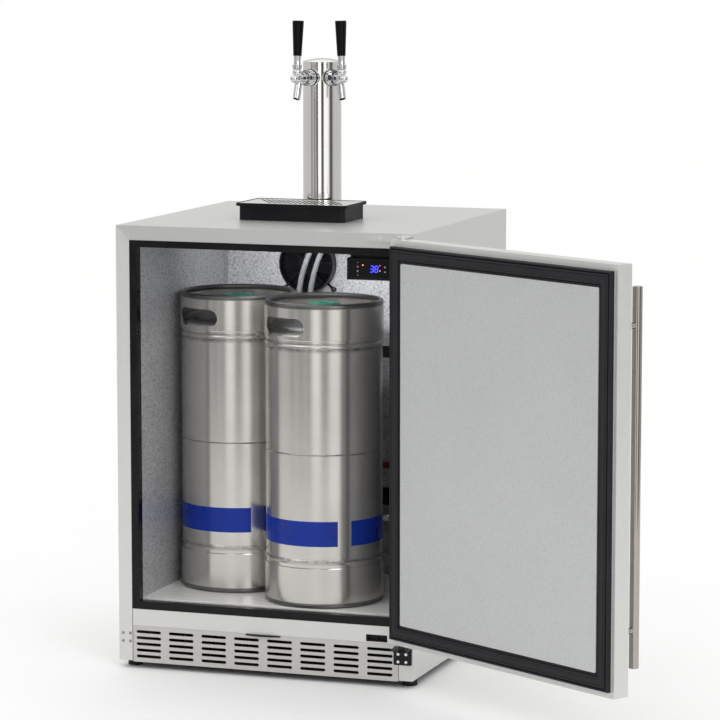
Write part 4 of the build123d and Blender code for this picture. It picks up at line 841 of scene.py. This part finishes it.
# levels round the studio, by the compass angle from the front in degrees: white soft boxes with
# dark gaps between them, which the round steel parts show as upright streaks
STUDIO = [
    (-180, 0.66), (-52, 0.62), (-49, 0.26), (-43, 0.26), (-40, 0.55), (-31, 0.52), (-28, 0.20), (-23, 0.20),
    (-20, 0.62), (-15, 0.60), (-13, 0.10), (-6, 0.10), (-3, 1.45), (12, 1.45), (15, 0.05), (27, 0.10),
    (31, 1.25), (55, 1.15), (62, 0.70), (67, 0.12), (82, 0.12), (87, 0.52), (100, 0.62), (180, 0.66),
]
# the curve node's values end at 1, so the levels are divided by this before it and multiplied after
BRIGHTEST = 2.0
OVERHEAD = 1.15

direction = world_node("ShaderNodeTexCoord").outputs["Generated"]
split = world_node("ShaderNodeSeparateXYZ")
tree.links.new(direction, split.inputs["Vector"])
compass = world_math("ARCTAN2", split.outputs["X"], world_math("MULTIPLY", split.outputs["Y"], -1.0))
turned = world_math("ADD", world_math("DIVIDE", compass, 2 * math.pi), 0.5)
ramp = world_node("ShaderNodeFloatCurve")
levels = ramp.mapping.curves[0]
for index, (angle, level) in enumerate(STUDIO):
    place = (angle + 180) / 360
    if index in (0, len(STUDIO) - 1):
        levels.points[0 if index == 0 else -1].location = (place, level / BRIGHTEST)
    else:
        levels.points.new(place, level / BRIGHTEST)
for point in levels.points:
    point.handle_type = "VECTOR"
ramp.mapping.update()
tree.links.new(turned, ramp.inputs["Value"])
bands = world_math("MULTIPLY", ramp.outputs["Value"], BRIGHTEST)

# reflections see the bands with an even ceiling over them, soft light comes mostly from above, and
# the camera sees plain white
overhead_share = world_range(split.outputs["Z"], 0.30, 0.55, 0.0, 1.0, curve="SMOOTHSTEP")
reflected = world_mix(overhead_share, bands, OVERHEAD)
from_above = world_range(split.outputs["Z"], 0.0, 0.9, 0.30, 1.28)
rays = world_node("ShaderNodeLightPath")
plain = world_mix(rays.outputs["Is Diffuse Ray"], 1.0, from_above)
seen = world_mix(rays.outputs["Is Glossy Ray"], plain, reflected)
background = world_node("ShaderNodeBackground")
background.inputs["Color"].default_value = (1.0, 1.0, 0.995, 1)
tree.links.new(seen, background.inputs["Strength"])
output = world_node("ShaderNodeOutputWorld")
tree.links.new(background.outputs["Background"], output.inputs["Surface"])


def soft_light(name, place, target, size, power, height=None):
    """A round area light, or an oblong one with a height, that points at a target."""
    data = bpy.data.lights.new(name, "AREA")
    data.shape = "RECTANGLE" if height else "DISK"
    data.size = size
    if height:
        data.size_y = height
    data.energy = power
    light = bpy.data.objects.new(name, data)
    light.location = place
    light.rotation_euler = (Vector(target) - Vector(place)).to_track_quat("-Z", "Y").to_euler()
    bpy.context.scene.collection.objects.link(light)
    return light


CABINET_MIDDLE = (0, 0, 0.5)
soft_light("key", (-2.2, -3.4, 3.4), CABINET_MIDDLE, size=2.0, power=10)
soft_light("fill", (3.2, -3.6, 2.4), CABINET_MIDDLE, size=2.0, power=34)

# the lamp near the cabin's ceiling, just inside the opening, that lights its back wall
cabin_lamp = soft_light("cabin_lamp", (0.0, -0.262, 0.812), (0.02, LINER_BACK, 0.775),
                        size=0.20, power=1.35, height=0.02)
cabin_lamp.data.spread = math.radians(110)
cabin_lamp.visible_camera = False
cabin_lamp.visible_glossy = False
